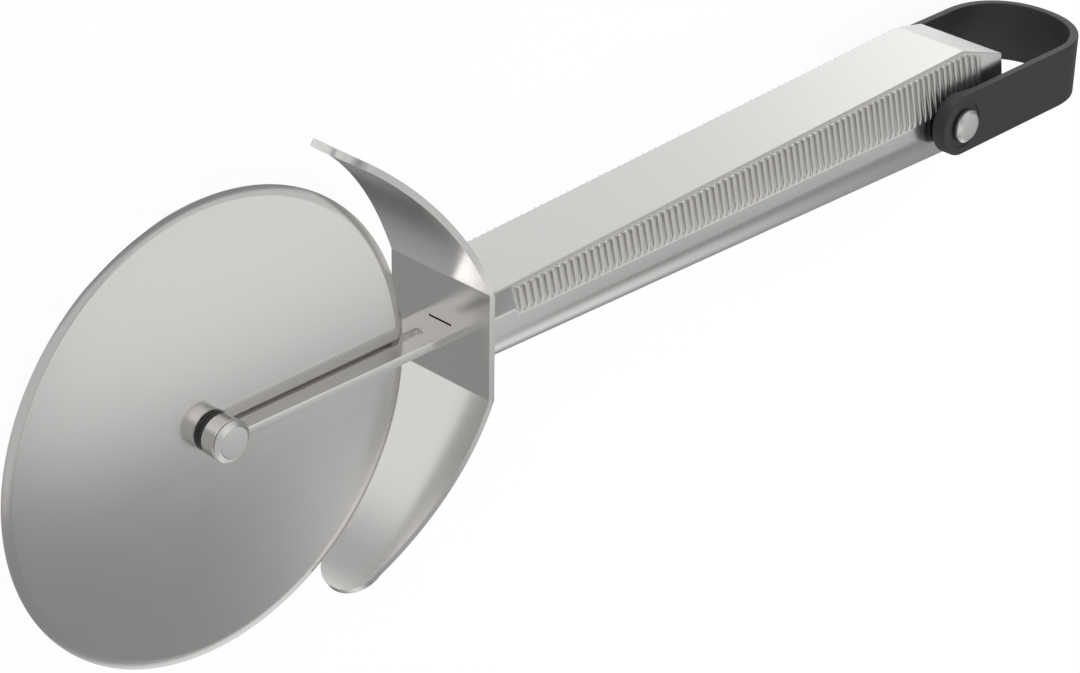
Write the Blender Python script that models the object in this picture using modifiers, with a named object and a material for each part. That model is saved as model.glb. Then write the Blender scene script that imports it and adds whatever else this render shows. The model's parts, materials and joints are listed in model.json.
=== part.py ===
"""Pizza cutter with a ribbed hollow steel handle, a folded finger guard and a hanging loop.

The cutter lies on its side. +X runs from the cutting wheel to the hanging loop, +Y is the side that
the handle's flat top faces, and +Z is along the wheel's axle. The origin is the middle of the base.
Every length is in metres. Inside the functions a place is given as (h, v, a): h along the handle from
the wheel's axle, v up from the handle's middle, and a along the axle from the wheel's middle plane.
"""

import math

import bmesh
import bpy
from mathutils import Matrix, Vector

# Fits shared by the whole cutter
SEAT_GAP = 0.00025
RUNNING_GAP = 0.0002
CUT_OVERRUN = 0.003
MERGE_DISTANCE = 0.00001
SHARP_ANGLE = math.radians(30)

# Cutting wheel
WHEEL_RADIUS = 0.050
WHEEL_THICKNESS = 0.0010
WHEEL_BEVEL_WIDTH = 0.0020
WHEEL_EDGE_THICKNESS = 0.00025
WHEEL_STEPS = 96

# Black bush in two flanged halves, snapped into the wheel
BUSH_FLANGE_RADIUS = 0.0042
BUSH_FLANGE_THICKNESS = 0.0006
BUSH_SLEEVE_WALL = 0.0009
SMALL_STEPS = 32

# Two-part rivet that is the wheel's axle
AXLE_BARREL_RADIUS = 0.0019
AXLE_PIN_RADIUS = 0.0011
AXLE_BORE_DEPTH = 0.0080
RIVET_HEAD_RADIUS = 0.0044
RIVET_FACE_RADIUS = 0.0034
RIVET_HEAD_THICKNESS = 0.00115
RIVET_CHAMFER_THICKNESS = 0.00085

# Fork that carries the wheel
FORK_THICKNESS = 0.0021
FORK_EYE_RADIUS = 0.0044
FORK_EYE_THICKNESS = 0.0035
FORK_ROOT_HALF_WIDTH = 0.0057
FORK_SLOT_CLEARANCE = 0.00073
FORK_RELIEF_CLEARANCE = 0.0008
WHEEL_TO_SLOT_END = 0.0050
FORK_ROOT_LENGTH = 0.0056
TANG_HALF_WIDTH = 0.00325
TANG_LENGTH = 0.0220
TANG_PIN_RADIUS = 0.0012
TANG_PIN_PLACE = 0.0130

# Finger guard, one bent sheet
GUARD_THICKNESS = 0.0015
GUARD_HALF_WIDTH = 0.01436
GUARD_PLATE_HALF_HEIGHT = 0.01196
GUARD_FOLD_RADIUS = 0.0012
GUARD_FOLD_ANGLE = math.radians(21.5)
WING_LENGTH = 0.0499
WING_STANDOFF = 0.0270
WING_TIP_RADIUS = 0.0074
WING_TAPER_POWER = 1.48
WING_STEPS = 14
WING_TIP_STEPS = 7
FOLD_STEPS = 3
TANG_SLIT_HEIGHT = 0.00045

# Handle shell
HANDLE_LENGTH = 0.17095
HANDLE_CHAMFER_LENGTH = 0.0107
HANDLE_WALL = 0.0012
HANDLE_HALF_WIDTH = 0.0116
HANDLE_FRONT_HEIGHT = 0.0085
HANDLE_REAR_HEIGHT = 0.01425
HANDLE_END_HEIGHT = 0.0114
HANDLE_FRONT_DEPTH = 0.0089
HANDLE_REAR_DEPTH = 0.01405
TOP_HALF_WIDTH_FRONT = 0.0095
TOP_HALF_WIDTH_REAR = 0.0083
TOP_HALF_WIDTH_END = 0.01156
TOP_EDGE_RADIUS = 0.0007
SHOULDER_HEIGHT = 0.0043
RIBBED_SHOULDER_HEIGHT = 0.0029
SIDE_LOW_HEIGHT = 0.0004
BOTTOM_FLAT_HALF_WIDTH = 0.0012
TOP_EDGE_STEPS = 2
BOTTOM_STEPS = 8
HANDLE_STATIONS = 8
CHAMFER_STEPS = 4

# Grip ribs on the two sloped faces of the handle
RIB_PITCH = 0.0020
RIB_FIRST = 0.0106
RIB_RUN_PAST_CHAMFER = 0.0024
RIB_TOP_MARGIN = 0.0010
RIB_HEIGHT = 0.00055
RIB_DEPTH = 0.0009
RIB_CREST_HALF_WIDTH = 0.00056
RIB_BASE_HALF_WIDTH = 0.00082
RIB_FOOT_HALF_WIDTH = 0.00092
RIB_FOOT_SINK = 0.00003
RIB_FOOT_OVERLAP = 0.0005
RIB_BLEND_LENGTH = 0.0012
RIB_END_STEPS = 3

# Block that holds the fork's tang inside the handle, and the cap that closes the handle's end
TANG_BLOCK_LENGTH = 0.0260
END_CAP_THICKNESS = 0.0015
END_CAP_RECESS = 0.0004

# Hanging loop, its two-part pin and its washers
LOOP_PIN_FROM_END = 0.0202
LOOP_PIN_HEIGHT = 0.00105
LOOP_HALF_WIDTH = 0.0075
LOOP_THICKNESS = 0.0021
LOOP_LUG_THICKNESS = 0.0035
LOOP_STRAIGHT_LENGTH = 0.0379
LOOP_BEND_DEPTH = 0.0172
LOOP_BEND_POWER = 2.15
LOOP_STEP_SLOPE = 0.0020
LOOP_BEND_STEPS = 28
LOOP_LUG_STEPS = 20
WASHER_THICKNESS = 0.0019
WASHER_RADIUS = 0.0066
PIN_BARREL_RADIUS = 0.0019
PIN_CORE_RADIUS = 0.0011
PIN_BORE_DEPTH = 0.0100
PIN_HEAD_RADIUS = 0.0040
PIN_FACE_RADIUS = 0.0033
PIN_HEAD_THICKNESS = 0.0014
PIN_CHAMFER_THICKNESS = 0.0006
SLEEVE_WALL = 0.0009
SLEEVE_END_CLEARANCE = 0.0009

# Stack along the wheel's axle, worked out from the wheel's middle plane
WHEEL_HALF = WHEEL_THICKNESS / 2
BUSH_INNER_FACE = WHEEL_HALF + SEAT_GAP
BUSH_OUTER_FACE = BUSH_INNER_FACE + BUSH_FLANGE_THICKNESS
EYE_INNER_FACE = BUSH_OUTER_FACE + SEAT_GAP
EYE_OUTER_FACE = EYE_INNER_FACE + FORK_EYE_THICKNESS
AXLE_HEAD_SEAT = EYE_OUTER_FACE + SEAT_GAP
BUSH_BORE_RADIUS = AXLE_BARREL_RADIUS + RUNNING_GAP
BUSH_SLEEVE_RADIUS = BUSH_BORE_RADIUS + BUSH_SLEEVE_WALL
WHEEL_BORE_RADIUS = BUSH_SLEEVE_RADIUS + RUNNING_GAP

# Places along the handle, worked out from the wheel's axle
SLOT_END = WHEEL_RADIUS + WHEEL_TO_SLOT_END
GUARD_FACE = SLOT_END + FORK_ROOT_LENGTH
GUARD_BACK = GUARD_FACE + GUARD_THICKNESS
HANDLE_START = GUARD_BACK + SEAT_GAP
HANDLE_END = HANDLE_START + HANDLE_LENGTH
CHAMFER_START = HANDLE_LENGTH - HANDLE_CHAMFER_LENGTH
LOOP_PIN = HANDLE_END - LOOP_PIN_FROM_END
LOOP_REACH = LOOP_STRAIGHT_LENGTH + LOOP_BEND_DEPTH

# Stack along the loop's pin, worked out from the handle's middle plane
LUG_INNER_FACE = HANDLE_HALF_WIDTH + WASHER_THICKNESS + 2 * SEAT_GAP
LUG_OUTER_FACE = LUG_INNER_FACE + LOOP_LUG_THICKNESS
PIN_HEAD_SEAT = LUG_OUTER_FACE + SEAT_GAP
PIN_HEAD_FACE = PIN_HEAD_SEAT + PIN_HEAD_THICKNESS
LOOP_INNER_HALF = LUG_OUTER_FACE - LOOP_THICKNESS

# Place of the wheel's axle in the frame of the whole cutter, which lies on the loop pin's lower head
OVERALL_LENGTH = WHEEL_RADIUS + LOOP_PIN + LOOP_REACH
AXLE_X = WHEEL_RADIUS - OVERALL_LENGTH / 2
AXLE_Z = PIN_HEAD_FACE

STEEL = (0.62, 0.61, 0.60, 1.0)
BRIGHT_STEEL = (0.72, 0.71, 0.70, 1.0)
HIDDEN_STEEL = (0.45, 0.45, 0.46, 1.0)
BLACK_PLASTIC = (0.045, 0.045, 0.047, 1.0)
BUSH_BLACK = (0.03, 0.03, 0.03, 1.0)


def clear_scene():
    """Remove every object that the file opened with."""
    for obj in list(bpy.data.objects):
        bpy.data.objects.remove(obj, do_unlink=True)


def new_collection(name):
    """A new collection, linked to the scene."""
    collection = bpy.data.collections.new(name)
    bpy.context.scene.collection.children.link(collection)
    return collection


def new_material(name, color, roughness, metallic):
    """A Principled material."""
    material = bpy.data.materials.new(name)
    material.use_nodes = True
    shader = material.node_tree.nodes["Principled BSDF"]
    shader.inputs["Base Color"].default_value = color
    shader.inputs["Roughness"].default_value = roughness
    shader.inputs["Metallic"].default_value = metallic
    return material


def steel(name, color=STEEL, roughness=0.3):
    """Brushed stainless steel."""
    return new_material(name, color, roughness, 1.0)


def plastic(name, color, roughness=0.5):
    """Moulded plastic."""
    return new_material(name, color, roughness, 0.0)


class Workshop:
    """The collections and the two empties that the pieces are placed by."""

    def __init__(self):
        self.parts = new_collection("pizza_cutter")
        self.cutters = new_collection("cutters")
        self.axle = self.empty("axle_centre", Vector((AXLE_X, 0, AXLE_Z)), None)
        self.loop_pin = self.empty("loop_pin_centre", Vector((LOOP_PIN, LOOP_PIN_HEIGHT, 0)), self.axle)

    def empty(self, name, location, parent):
        """An empty on a joint's axis."""
        marker = bpy.data.objects.new(name, None)
        marker.location = location
        marker.parent = parent
        self.parts.objects.link(marker)
        return marker

    def part(self, name, mesh, material, parent=None):
        """A finished piece of the cutter, placed by one of the empties."""
        piece = bpy.data.objects.new(name, mesh)
        mesh.materials.append(material)
        piece.parent = parent or self.axle
        self.parts.objects.link(piece)
        return piece

    def cutter(self, name, mesh, parent=None):
        """A shape that cuts or joins another and isn't a piece itself."""
        tool = bpy.data.objects.new(name, mesh)
        tool.parent = parent or self.axle
        tool.hide_render = True
        tool.display_type = "WIRE"
        self.cutters.objects.link(tool)
        return tool


def boolean(piece, tool, operation):
    """Cut a piece with a tool, or join the tool to it."""
    modifier = piece.modifiers.new(tool.name, "BOOLEAN")
    modifier.operation = operation
    modifier.solver = "EXACT"
    modifier.object = tool


def mesh_from(bm, name):
    """Turn a bmesh into a mesh whose faces point outwards, shaded smooth between its sharp edges."""
    bmesh.ops.recalc_face_normals(bm, faces=bm.faces)
    mesh = bpy.data.meshes.new(name)
    bm.to_mesh(mesh)
    bm.free()
    mesh.shade_smooth()
    mesh.set_sharp_from_angle(angle=SHARP_ANGLE)
    return mesh


def turned(name, profile, steps=SMALL_STEPS):
    """Turn a profile of (radius, height) points about Z, from top to bottom on its outer side.

    A profile that starts off the axis closes on itself and makes a ring.
    """
    outline = bpy.data.meshes.new(name + "_profile")
    edges = [(i, i + 1) for i in range(len(profile) - 1)]
    if profile[0][0] > 0:
        edges.append((len(profile) - 1, 0))
    outline.from_pydata([(radius, 0, height) for radius, height in profile], edges, [])
    holder = bpy.data.objects.new(name + "_profile", outline)
    bpy.context.scene.collection.objects.link(holder)
    screw = holder.modifiers.new("Turn", "SCREW")
    screw.steps = steps
    screw.render_steps = steps
    screw.use_merge_vertices = True
    screw.merge_threshold = MERGE_DISTANCE
    depsgraph = bpy.context.evaluated_depsgraph_get()
    mesh = bpy.data.meshes.new_from_object(holder.evaluated_get(depsgraph))
    mesh.name = name
    bpy.data.objects.remove(holder, do_unlink=True)
    bpy.data.meshes.remove(outline)
    mesh.shade_smooth()
    mesh.set_sharp_from_angle(angle=SHARP_ANGLE)
    return mesh


def cylinder_mesh(name, radius, length, centres, steps=SMALL_STEPS, axis="Z"):
    """One mesh of solid cylinders of one size along an axis."""
    turn = Matrix.Rotation(math.pi / 2, 4, "X") if axis == "Y" else Matrix.Identity(4)
    bm = bmesh.new()
    for centre in centres:
        bmesh.ops.create_cone(
            bm, cap_ends=True, segments=steps, radius1=radius, radius2=radius, depth=length,
            matrix=Matrix.Translation(centre) @ turn,
        )
    return mesh_from(bm, name)


def box_mesh(name, low, high):
    """A box between two corners."""
    low, high = Vector(low), Vector(high)
    bm = bmesh.new()
    bmesh.ops.create_cube(
        bm, size=1, matrix=Matrix.Translation((low + high) / 2) @ Matrix.Diagonal((*(high - low), 1)),
    )
    return mesh_from(bm, name)


def prism_mesh(name, outline, extrusion):
    """An outline of points in one plane, given a thickness by an extrusion vector."""
    bm = bmesh.new()
    face = bm.faces.new([bm.verts.new(point) for point in outline])
    extruded = bmesh.ops.extrude_face_region(bm, geom=[face])["geom"]
    moved = [item for item in extruded if isinstance(item, bmesh.types.BMVert)]
    bmesh.ops.translate(bm, verts=moved, vec=extrusion)
    return mesh_from(bm, name)


def loft_mesh(name, rings, wrap):
    """Quads between rings of points. The end rings are filled, or joined to each other by wrap."""
    bm = bmesh.new()
    loops = [[bm.verts.new(point) for point in ring] for ring in rings]
    followers = loops[1:] + loops[:1] if wrap else loops[1:]
    for loop, follower in zip(loops, followers):
        for i in range(len(loop)):
            j = (i + 1) % len(loop)
            bm.faces.new((loop[i], loop[j], follower[j], follower[i]))
    if not wrap:
        bm.faces.new(loops[0])
        bm.faces.new(loops[-1])
    return mesh_from(bm, name)


def mix(first, last, share):
    """A value part of the way from first to last."""
    return first + (last - first) * share


# Cutting wheel, its bush and its axle


def make_wheel(shop):
    """Flat disc, ground on both sides to a cutting edge."""
    rim = WHEEL_RADIUS - WHEEL_BEVEL_WIDTH
    edge = WHEEL_EDGE_THICKNESS / 2
    profile = [
        (WHEEL_BORE_RADIUS, WHEEL_HALF),
        (rim, WHEEL_HALF),
        (WHEEL_RADIUS, edge),
        (WHEEL_RADIUS, -edge),
        (rim, -WHEEL_HALF),
        (WHEEL_BORE_RADIUS, -WHEEL_HALF),
    ]
    shop.part("cutting_wheel", turned("cutting_wheel", profile, WHEEL_STEPS), steel("wheel_steel"))


def make_bushes(shop):
    """Two flanged half bushes whose sleeves meet in the wheel's bore."""
    profile = [
        (BUSH_BORE_RADIUS, BUSH_OUTER_FACE),
        (BUSH_FLANGE_RADIUS, BUSH_OUTER_FACE),
        (BUSH_FLANGE_RADIUS, BUSH_INNER_FACE),
        (BUSH_SLEEVE_RADIUS, BUSH_INNER_FACE),
        (BUSH_SLEEVE_RADIUS, SEAT_GAP / 2),
        (BUSH_BORE_RADIUS, SEAT_GAP / 2),
    ]
    material = plastic("bush_black", BUSH_BLACK)
    mesh = turned("wheel_bush", profile)
    shop.part("wheel_bush_near", mesh, material)
    far = shop.part("wheel_bush_far", mesh.copy(), material)
    far.rotation_euler.x = math.pi


def rivet_head(face, seat, head_radius, face_radius, chamfer):
    """Profile points of a chamfered head above its seat, from the axis outwards."""
    return [(0, face), (face_radius, face), (head_radius, face - chamfer), (head_radius, seat)]


def two_part_rivet(names, seat, head, barrel_radius, core_radius, bore_depth):
    """Meshes of a rivet's core and of the barrel that takes it, head to head across two seats.

    The head is its radius, the radius of its flat face, its thickness and the height of its chamfer.
    """
    head_radius, face_radius, thickness, chamfer = head
    profile = rivet_head(seat + thickness, seat, head_radius, face_radius, chamfer)
    barrel_end = seat - SEAT_GAP
    core_end = barrel_end - bore_depth + SEAT_GAP
    core = profile + [(core_radius, seat), (core_radius, core_end), (0, core_end)]
    bore_radius = core_radius + SEAT_GAP
    bore = [(0, barrel_end - bore_depth), (bore_radius, barrel_end - bore_depth), (bore_radius, barrel_end)]
    outside = [(barrel_radius, barrel_end), (barrel_radius, -seat)]
    lower_head = [(radius, -height) for radius, height in reversed(profile)]
    return turned(names[0], core), turned(names[1], bore + outside + lower_head)


def make_axle(shop):
    """Rivet through the fork's eyes and the wheel's bush."""
    names = ("axle_rivet", "axle_rivet_barrel")
    head = (RIVET_HEAD_RADIUS, RIVET_FACE_RADIUS, RIVET_HEAD_THICKNESS, RIVET_CHAMFER_THICKNESS)
    meshes = two_part_rivet(
        names, AXLE_HEAD_SEAT, head, AXLE_BARREL_RADIUS, AXLE_PIN_RADIUS, AXLE_BORE_DEPTH,
    )
    for name, mesh in zip(names, meshes):
        shop.part(name, mesh, steel(name + "_steel", BRIGHT_STEEL, 0.22))


# Fork and finger guard


def fork_outline():
    """The fork's outline in the plane of h and a, from the near eye round to the far one."""
    slot_half = WHEEL_HALF + FORK_SLOT_CLEARANCE
    relief = BUSH_FLANGE_RADIUS + FORK_RELIEF_CLEARANCE
    shoulder = GUARD_FACE - SEAT_GAP
    tang_end = GUARD_FACE + TANG_LENGTH
    half = [
        (SLOT_END, slot_half),
        (relief + EYE_INNER_FACE - slot_half, slot_half),
        (relief, EYE_INNER_FACE),
        (0, EYE_INNER_FACE),
        (0, EYE_OUTER_FACE),
        (relief, EYE_OUTER_FACE),
        (shoulder, FORK_ROOT_HALF_WIDTH),
        (shoulder, TANG_HALF_WIDTH),
        (tang_end, TANG_HALF_WIDTH),
    ]
    low = -FORK_THICKNESS / 2
    near = [Vector((h, low, a)) for h, a in half]
    far = [Vector((h, low, -a)) for h, a in reversed(half)]
    return near + far


def make_fork(shop):
    """Slotted flat bar with round eyes at one end and a tang at the other."""
    mesh = prism_mesh("fork", fork_outline(), Vector((0, FORK_THICKNESS, 0)))
    fork = shop.part("fork", mesh, steel("fork_steel"))
    eye_middle = (EYE_INNER_FACE + EYE_OUTER_FACE) / 2
    eyes = cylinder_mesh(
        "fork_eyes", FORK_EYE_RADIUS, FORK_EYE_THICKNESS,
        [Vector((0, 0, eye_middle)), Vector((0, 0, -eye_middle))],
    )
    boolean(fork, shop.cutter("fork_eyes", eyes), "UNION")
    hole_length = 2 * (EYE_OUTER_FACE + CUT_OVERRUN)
    hole = cylinder_mesh("axle_hole", AXLE_BARREL_RADIUS + SEAT_GAP, hole_length, [Vector()])
    boolean(fork, shop.cutter("axle_hole", hole), "DIFFERENCE")
    boolean(fork, tang_pin_cutter(shop, "fork_pin_hole"), "DIFFERENCE")


def tang_pin_centre():
    """Middle of the pin that holds the tang."""
    return Vector((HANDLE_START + TANG_PIN_PLACE, 0, 0))


def tang_pin_cutter(shop, name):
    """Cutter for the pin's hole, longer than the handle is high."""
    length = 2 * (HANDLE_REAR_HEIGHT + CUT_OVERRUN)
    mesh = cylinder_mesh(name, TANG_PIN_RADIUS + SEAT_GAP, length, [tang_pin_centre()], axis="Y")
    return shop.cutter(name, mesh)


def wing_half_width(distance):
    """Half width of the guard at a distance along a wing, which tapers to a round tip."""
    taper_length = WING_LENGTH - WING_TIP_RADIUS
    if distance > taper_length:
        return math.sqrt(max(0, WING_TIP_RADIUS ** 2 - (distance - taper_length) ** 2))
    return mix(GUARD_HALF_WIDTH, WING_TIP_RADIUS, (distance / taper_length) ** WING_TAPER_POWER)


def guard_profile():
    """Points (h, v, half width) of the guard's front face, from its middle to the upper wing's tip.

    The face runs straight up, turns at the fold and follows the wing's bend.
    """
    bend_radius = WHEEL_RADIUS + WING_STANDOFF
    fold_length = GUARD_FOLD_RADIUS * GUARD_FOLD_ANGLE
    taper_length = WING_LENGTH - WING_TIP_RADIUS
    stations = [fold_length * i / FOLD_STEPS for i in range(FOLD_STEPS)]
    stations += [mix(fold_length, taper_length, i / WING_STEPS) for i in range(WING_STEPS)]
    stations += [
        taper_length + WING_TIP_RADIUS * math.sin(math.pi / 2 * i / WING_TIP_STEPS)
        for i in range(WING_TIP_STEPS + 1)
    ]

    def direction(distance):
        if distance < fold_length:
            return GUARD_FOLD_ANGLE * distance / fold_length
        return GUARD_FOLD_ANGLE + (distance - fold_length) / bend_radius

    h, v = GUARD_FACE, GUARD_PLATE_HALF_HEIGHT
    points = [(h, v, GUARD_HALF_WIDTH)]
    for start, end in zip(stations, stations[1:]):
        angle = (direction(start) + direction(end)) / 2
        h -= (end - start) * math.sin(angle)
        v += (end - start) * math.cos(angle)
        points.append((h, v, wing_half_width(end)))
    return points


def make_guard(shop):
    """One sheet: a flat plate behind the wheel and two wings that bend forward over its rim."""
    upper = guard_profile()
    profile = [(h, -v, half) for h, v, half in reversed(upper)] + upper
    bm = bmesh.new()
    rows = []
    for h, v, half in profile:
        if half > MERGE_DISTANCE:
            rows.append([bm.verts.new((h, v, -half)), bm.verts.new((h, v, half))])
        else:
            rows.append([bm.verts.new((h, v, 0))])
    for row, following in zip(rows, rows[1:]):
        bm.faces.new(row + following[::-1])
    for face in bm.faces:
        face.normal_update()
        if face.normal.x > 0:
            face.normal_flip()
    mesh = bpy.data.meshes.new("finger_guard")
    bm.to_mesh(mesh)
    bm.free()
    guard = shop.part("finger_guard", mesh, steel("guard_steel"))
    solidify = guard.modifiers.new("Sheet", "SOLIDIFY")
    solidify.thickness = GUARD_THICKNESS
    solidify.offset = -1
    solidify.use_even_offset = True
    half_thickness = FORK_THICKNESS / 2
    slot = box_mesh(
        "tang_slot",
        (GUARD_FACE - CUT_OVERRUN, -half_thickness - SEAT_GAP, -TANG_HALF_WIDTH - SEAT_GAP),
        (GUARD_BACK + CUT_OVERRUN, half_thickness + TANG_SLIT_HEIGHT, TANG_HALF_WIDTH + SEAT_GAP),
    )
    boolean(guard, shop.cutter("tang_slot", slot), "DIFFERENCE")


# Handle


def handle_heights(place):
    """Height of the handle's top and depth of its bottom at a distance from its front."""
    share = min(place, CHAMFER_START) / CHAMFER_START
    depth = mix(HANDLE_FRONT_DEPTH, HANDLE_REAR_DEPTH, share)
    if place <= CHAMFER_START:
        return mix(HANDLE_FRONT_HEIGHT, HANDLE_REAR_HEIGHT, share), depth
    share = (place - CHAMFER_START) / HANDLE_CHAMFER_LENGTH
    return mix(HANDLE_REAR_HEIGHT, HANDLE_END_HEIGHT, share), depth


def top_half_width(place):
    """Half width of the handle's flat top at a distance from its front."""
    if place <= CHAMFER_START:
        return mix(TOP_HALF_WIDTH_FRONT, TOP_HALF_WIDTH_REAR, place / CHAMFER_START)
    share = (place - CHAMFER_START) / HANDLE_CHAMFER_LENGTH
    return mix(TOP_HALF_WIDTH_REAR, TOP_HALF_WIDTH_END, share)


def rib_places():
    """Distances of the ribs' middles from the handle's front."""
    last = CHAMFER_START + RIB_RUN_PAST_CHAMFER
    count = int((last - RIB_FIRST) / RIB_PITCH) + 1
    return [RIB_FIRST + RIB_PITCH * i for i in range(count)]


def shoulder_height(place):
    """Height where the sloped face meets the vertical side. It is lower along the ribs."""
    ribs = rib_places()
    outside = max(ribs[0] - RIB_PITCH / 2 - place, place - ribs[-1] - RIB_PITCH / 2, 0)
    share = min(1, outside / RIB_BLEND_LENGTH)
    return mix(RIBBED_SHOULDER_HEIGHT, SHOULDER_HEIGHT, share)


def slope_corners(place, shoulder):
    """The two corners of the sloped face, as (a, v), and its direction down and its normal."""
    top = Vector((top_half_width(place), handle_heights(place)[0]))
    low = Vector((HANDLE_HALF_WIDTH, shoulder))
    down = (low - top).normalized()
    return top, low, down, Vector((-down.y, down.x))


def mitre(first, second, inset):
    """How far a corner between two faces moves when both move in by the inset."""
    return (first + second) * (-inset / (1 + first.dot(second)))


def plain_section(place, inset):
    """Closed ring of points (h, v, a) round the handle, moved in from its outer face by the inset."""
    top, low, down, normal = slope_corners(place, shoulder_height(place))
    top = top + mitre(Vector((0, 1)), normal, inset)
    low = low + mitre(normal, Vector((1, 0)), inset)
    start = top - Vector((TOP_EDGE_RADIUS, 0))
    end = top + down * TOP_EDGE_RADIUS
    half = []
    for i in range(TOP_EDGE_STEPS + 1):
        share = i / TOP_EDGE_STEPS
        half.append(start * (1 - share) ** 2 + top * (2 * share * (1 - share)) + end * share ** 2)
    half.append(low)
    depth = handle_heights(place)[1] - inset
    for i in range(BOTTOM_STEPS + 1):
        angle = math.pi / 2 * i / BOTTOM_STEPS
        across = mix(BOTTOM_FLAT_HALF_WIDTH, low.x, math.cos(angle))
        half.append(Vector((across, mix(-SIDE_LOW_HEIGHT, -depth, math.sin(angle)))))
    points = half + [Vector((-point.x, point.y)) for point in reversed(half)]
    return [Vector((HANDLE_START + place, point.y, point.x)) for point in points]


def handle_section(place, inset):
    """Ring round the handle. In the chamfered end it is straight between the chamfer's two ends."""
    if place <= CHAMFER_START:
        return plain_section(place, inset)
    first = plain_section(CHAMFER_START, inset)
    last = plain_section(HANDLE_LENGTH, inset)
    share = (place - CHAMFER_START) / HANDLE_CHAMFER_LENGTH
    return [start.lerp(end, share) for start, end in zip(first, last)]


def handle_stations():
    """Distances from the handle's front at which its section is taken, between ribs where there are ribs."""
    first = rib_places()[0] - RIB_PITCH / 2
    gaps = int((CHAMFER_START - first) / RIB_PITCH)
    middle = [first + RIB_PITCH * round(gaps * i / HANDLE_STATIONS) for i in range(HANDLE_STATIONS + 1)]
    end = [mix(CHAMFER_START, HANDLE_LENGTH, i / CHAMFER_STEPS) for i in range(CHAMFER_STEPS + 1)]
    return [0, first - RIB_BLEND_LENGTH] + middle + end


def add_rib(bm, place, side):
    """One rib on a sloped face: a bar with a round top end whose foot runs into the vertical side.

    Its crest and its hidden base are two outlines of like points, joined by sloped flanks.
    """
    top, _, down, normal = slope_corners(place, RIBBED_SHOULDER_HEIGHT)
    crest_top = top + down * RIB_TOP_MARGIN + normal * RIB_HEIGHT
    side_face = HANDLE_HALF_WIDTH - RIB_FOOT_SINK
    knee = Vector((side_face, SHOULDER_HEIGHT))
    foot = Vector((side_face, RIBBED_SHOULDER_HEIGHT - RIB_FOOT_OVERLAP))
    along = (knee - crest_top).normalized()
    upper_out = Vector((-along.y, along.x))
    knee_in = mitre(upper_out, Vector((1, 0)), RIB_DEPTH)

    def ring(half, inward):
        points = []
        for i in range(RIB_END_STEPS + 1):
            angle = math.pi * i / RIB_END_STEPS
            spot = crest_top + along * (RIB_CREST_HALF_WIDTH - half * math.sin(angle))
            spot = spot - upper_out * (RIB_DEPTH if inward else 0)
            points.append((half * math.cos(angle), spot))
        low = foot - Vector((RIB_DEPTH if inward else 0, 0))
        bend = knee + knee_in if inward else knee
        feet = [(-RIB_FOOT_HALF_WIDTH, low), (RIB_FOOT_HALF_WIDTH, low)]
        return points + [(-half, bend)] + feet + [(half, bend)]

    def vertices(points):
        return [bm.verts.new((HANDLE_START + place + u, spot.y, side * spot.x)) for u, spot in points]

    crest = vertices(ring(RIB_CREST_HALF_WIDTH, False))
    base = vertices(ring(RIB_BASE_HALF_WIDTH, True))
    count = len(crest)
    foot_far = RIB_END_STEPS + 2
    for loop in (crest, base):
        bm.faces.new(loop[: foot_far] + loop[-1:])
        bm.faces.new(loop[foot_far - 1:])
    for i in range(count):
        j = (i + 1) % count
        bm.faces.new((crest[i], crest[j], base[j], base[i]))


def make_handle_shell(shop):
    """Tapering tube, open at both ends, with a row of ribs on each sloped face."""
    stations = handle_stations()
    outer = [handle_section(place, 0) for place in stations]
    inner = [handle_section(place, HANDLE_WALL) for place in reversed(stations)]
    mesh = loft_mesh("handle_shell", outer + inner, wrap=True)
    shell = shop.part("handle_shell", mesh, steel("handle_steel"))
    bm = bmesh.new()
    for place in rib_places():
        for side in (1, -1):
            add_rib(bm, place, side)
    boolean(shell, shop.cutter("handle_ribs", mesh_from(bm, "handle_ribs")), "UNION")
    length = 2 * (HANDLE_HALF_WIDTH + CUT_OVERRUN)
    hole = cylinder_mesh("shell_pin_hole", PIN_BARREL_RADIUS + SEAT_GAP, length, [Vector()])
    boolean(shell, shop.cutter("shell_pin_hole", hole, shop.loop_pin), "DIFFERENCE")


def make_tang_block(shop):
    """Block inside the handle's front, with a slot for the tang and a cross hole for its pin."""
    inset = HANDLE_WALL + SEAT_GAP
    stations = [0] + [place for place in handle_stations() if 0 < place < TANG_BLOCK_LENGTH]
    rings = [handle_section(place, inset) for place in stations + [TANG_BLOCK_LENGTH]]
    mesh = loft_mesh("tang_block", rings, wrap=False)
    block = shop.part("tang_block", mesh, steel("block_steel", HIDDEN_STEEL, 0.5))
    half = FORK_THICKNESS / 2 + SEAT_GAP
    slot = box_mesh(
        "block_slot",
        (GUARD_FACE, -half, -TANG_HALF_WIDTH - SEAT_GAP),
        (GUARD_FACE + TANG_LENGTH + SEAT_GAP, half, TANG_HALF_WIDTH + SEAT_GAP),
    )
    boolean(block, shop.cutter("block_slot", slot), "DIFFERENCE")
    boolean(block, tang_pin_cutter(shop, "block_pin_hole"), "DIFFERENCE")


def make_tang_pin(shop):
    """Plain pin across the block and the tang."""
    length = 2 * (handle_heights(TANG_PIN_PLACE)[0] - HANDLE_WALL - 2 * SEAT_GAP)
    mesh = cylinder_mesh("tang_pin", TANG_PIN_RADIUS, length, [tang_pin_centre()], axis="Y")
    shop.part("tang_pin", mesh, steel("tang_pin_steel", HIDDEN_STEEL, 0.4))


def make_end_cap(shop):
    """Plate that closes the rear end of the shell."""
    inset = HANDLE_WALL + SEAT_GAP
    rear = HANDLE_LENGTH - END_CAP_RECESS
    rings = [handle_section(place, inset) for place in (rear - END_CAP_THICKNESS, rear)]
    shop.part("handle_end_cap", loft_mesh("handle_end_cap", rings, wrap=False), steel("cap_steel"))


# Hanging loop


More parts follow.
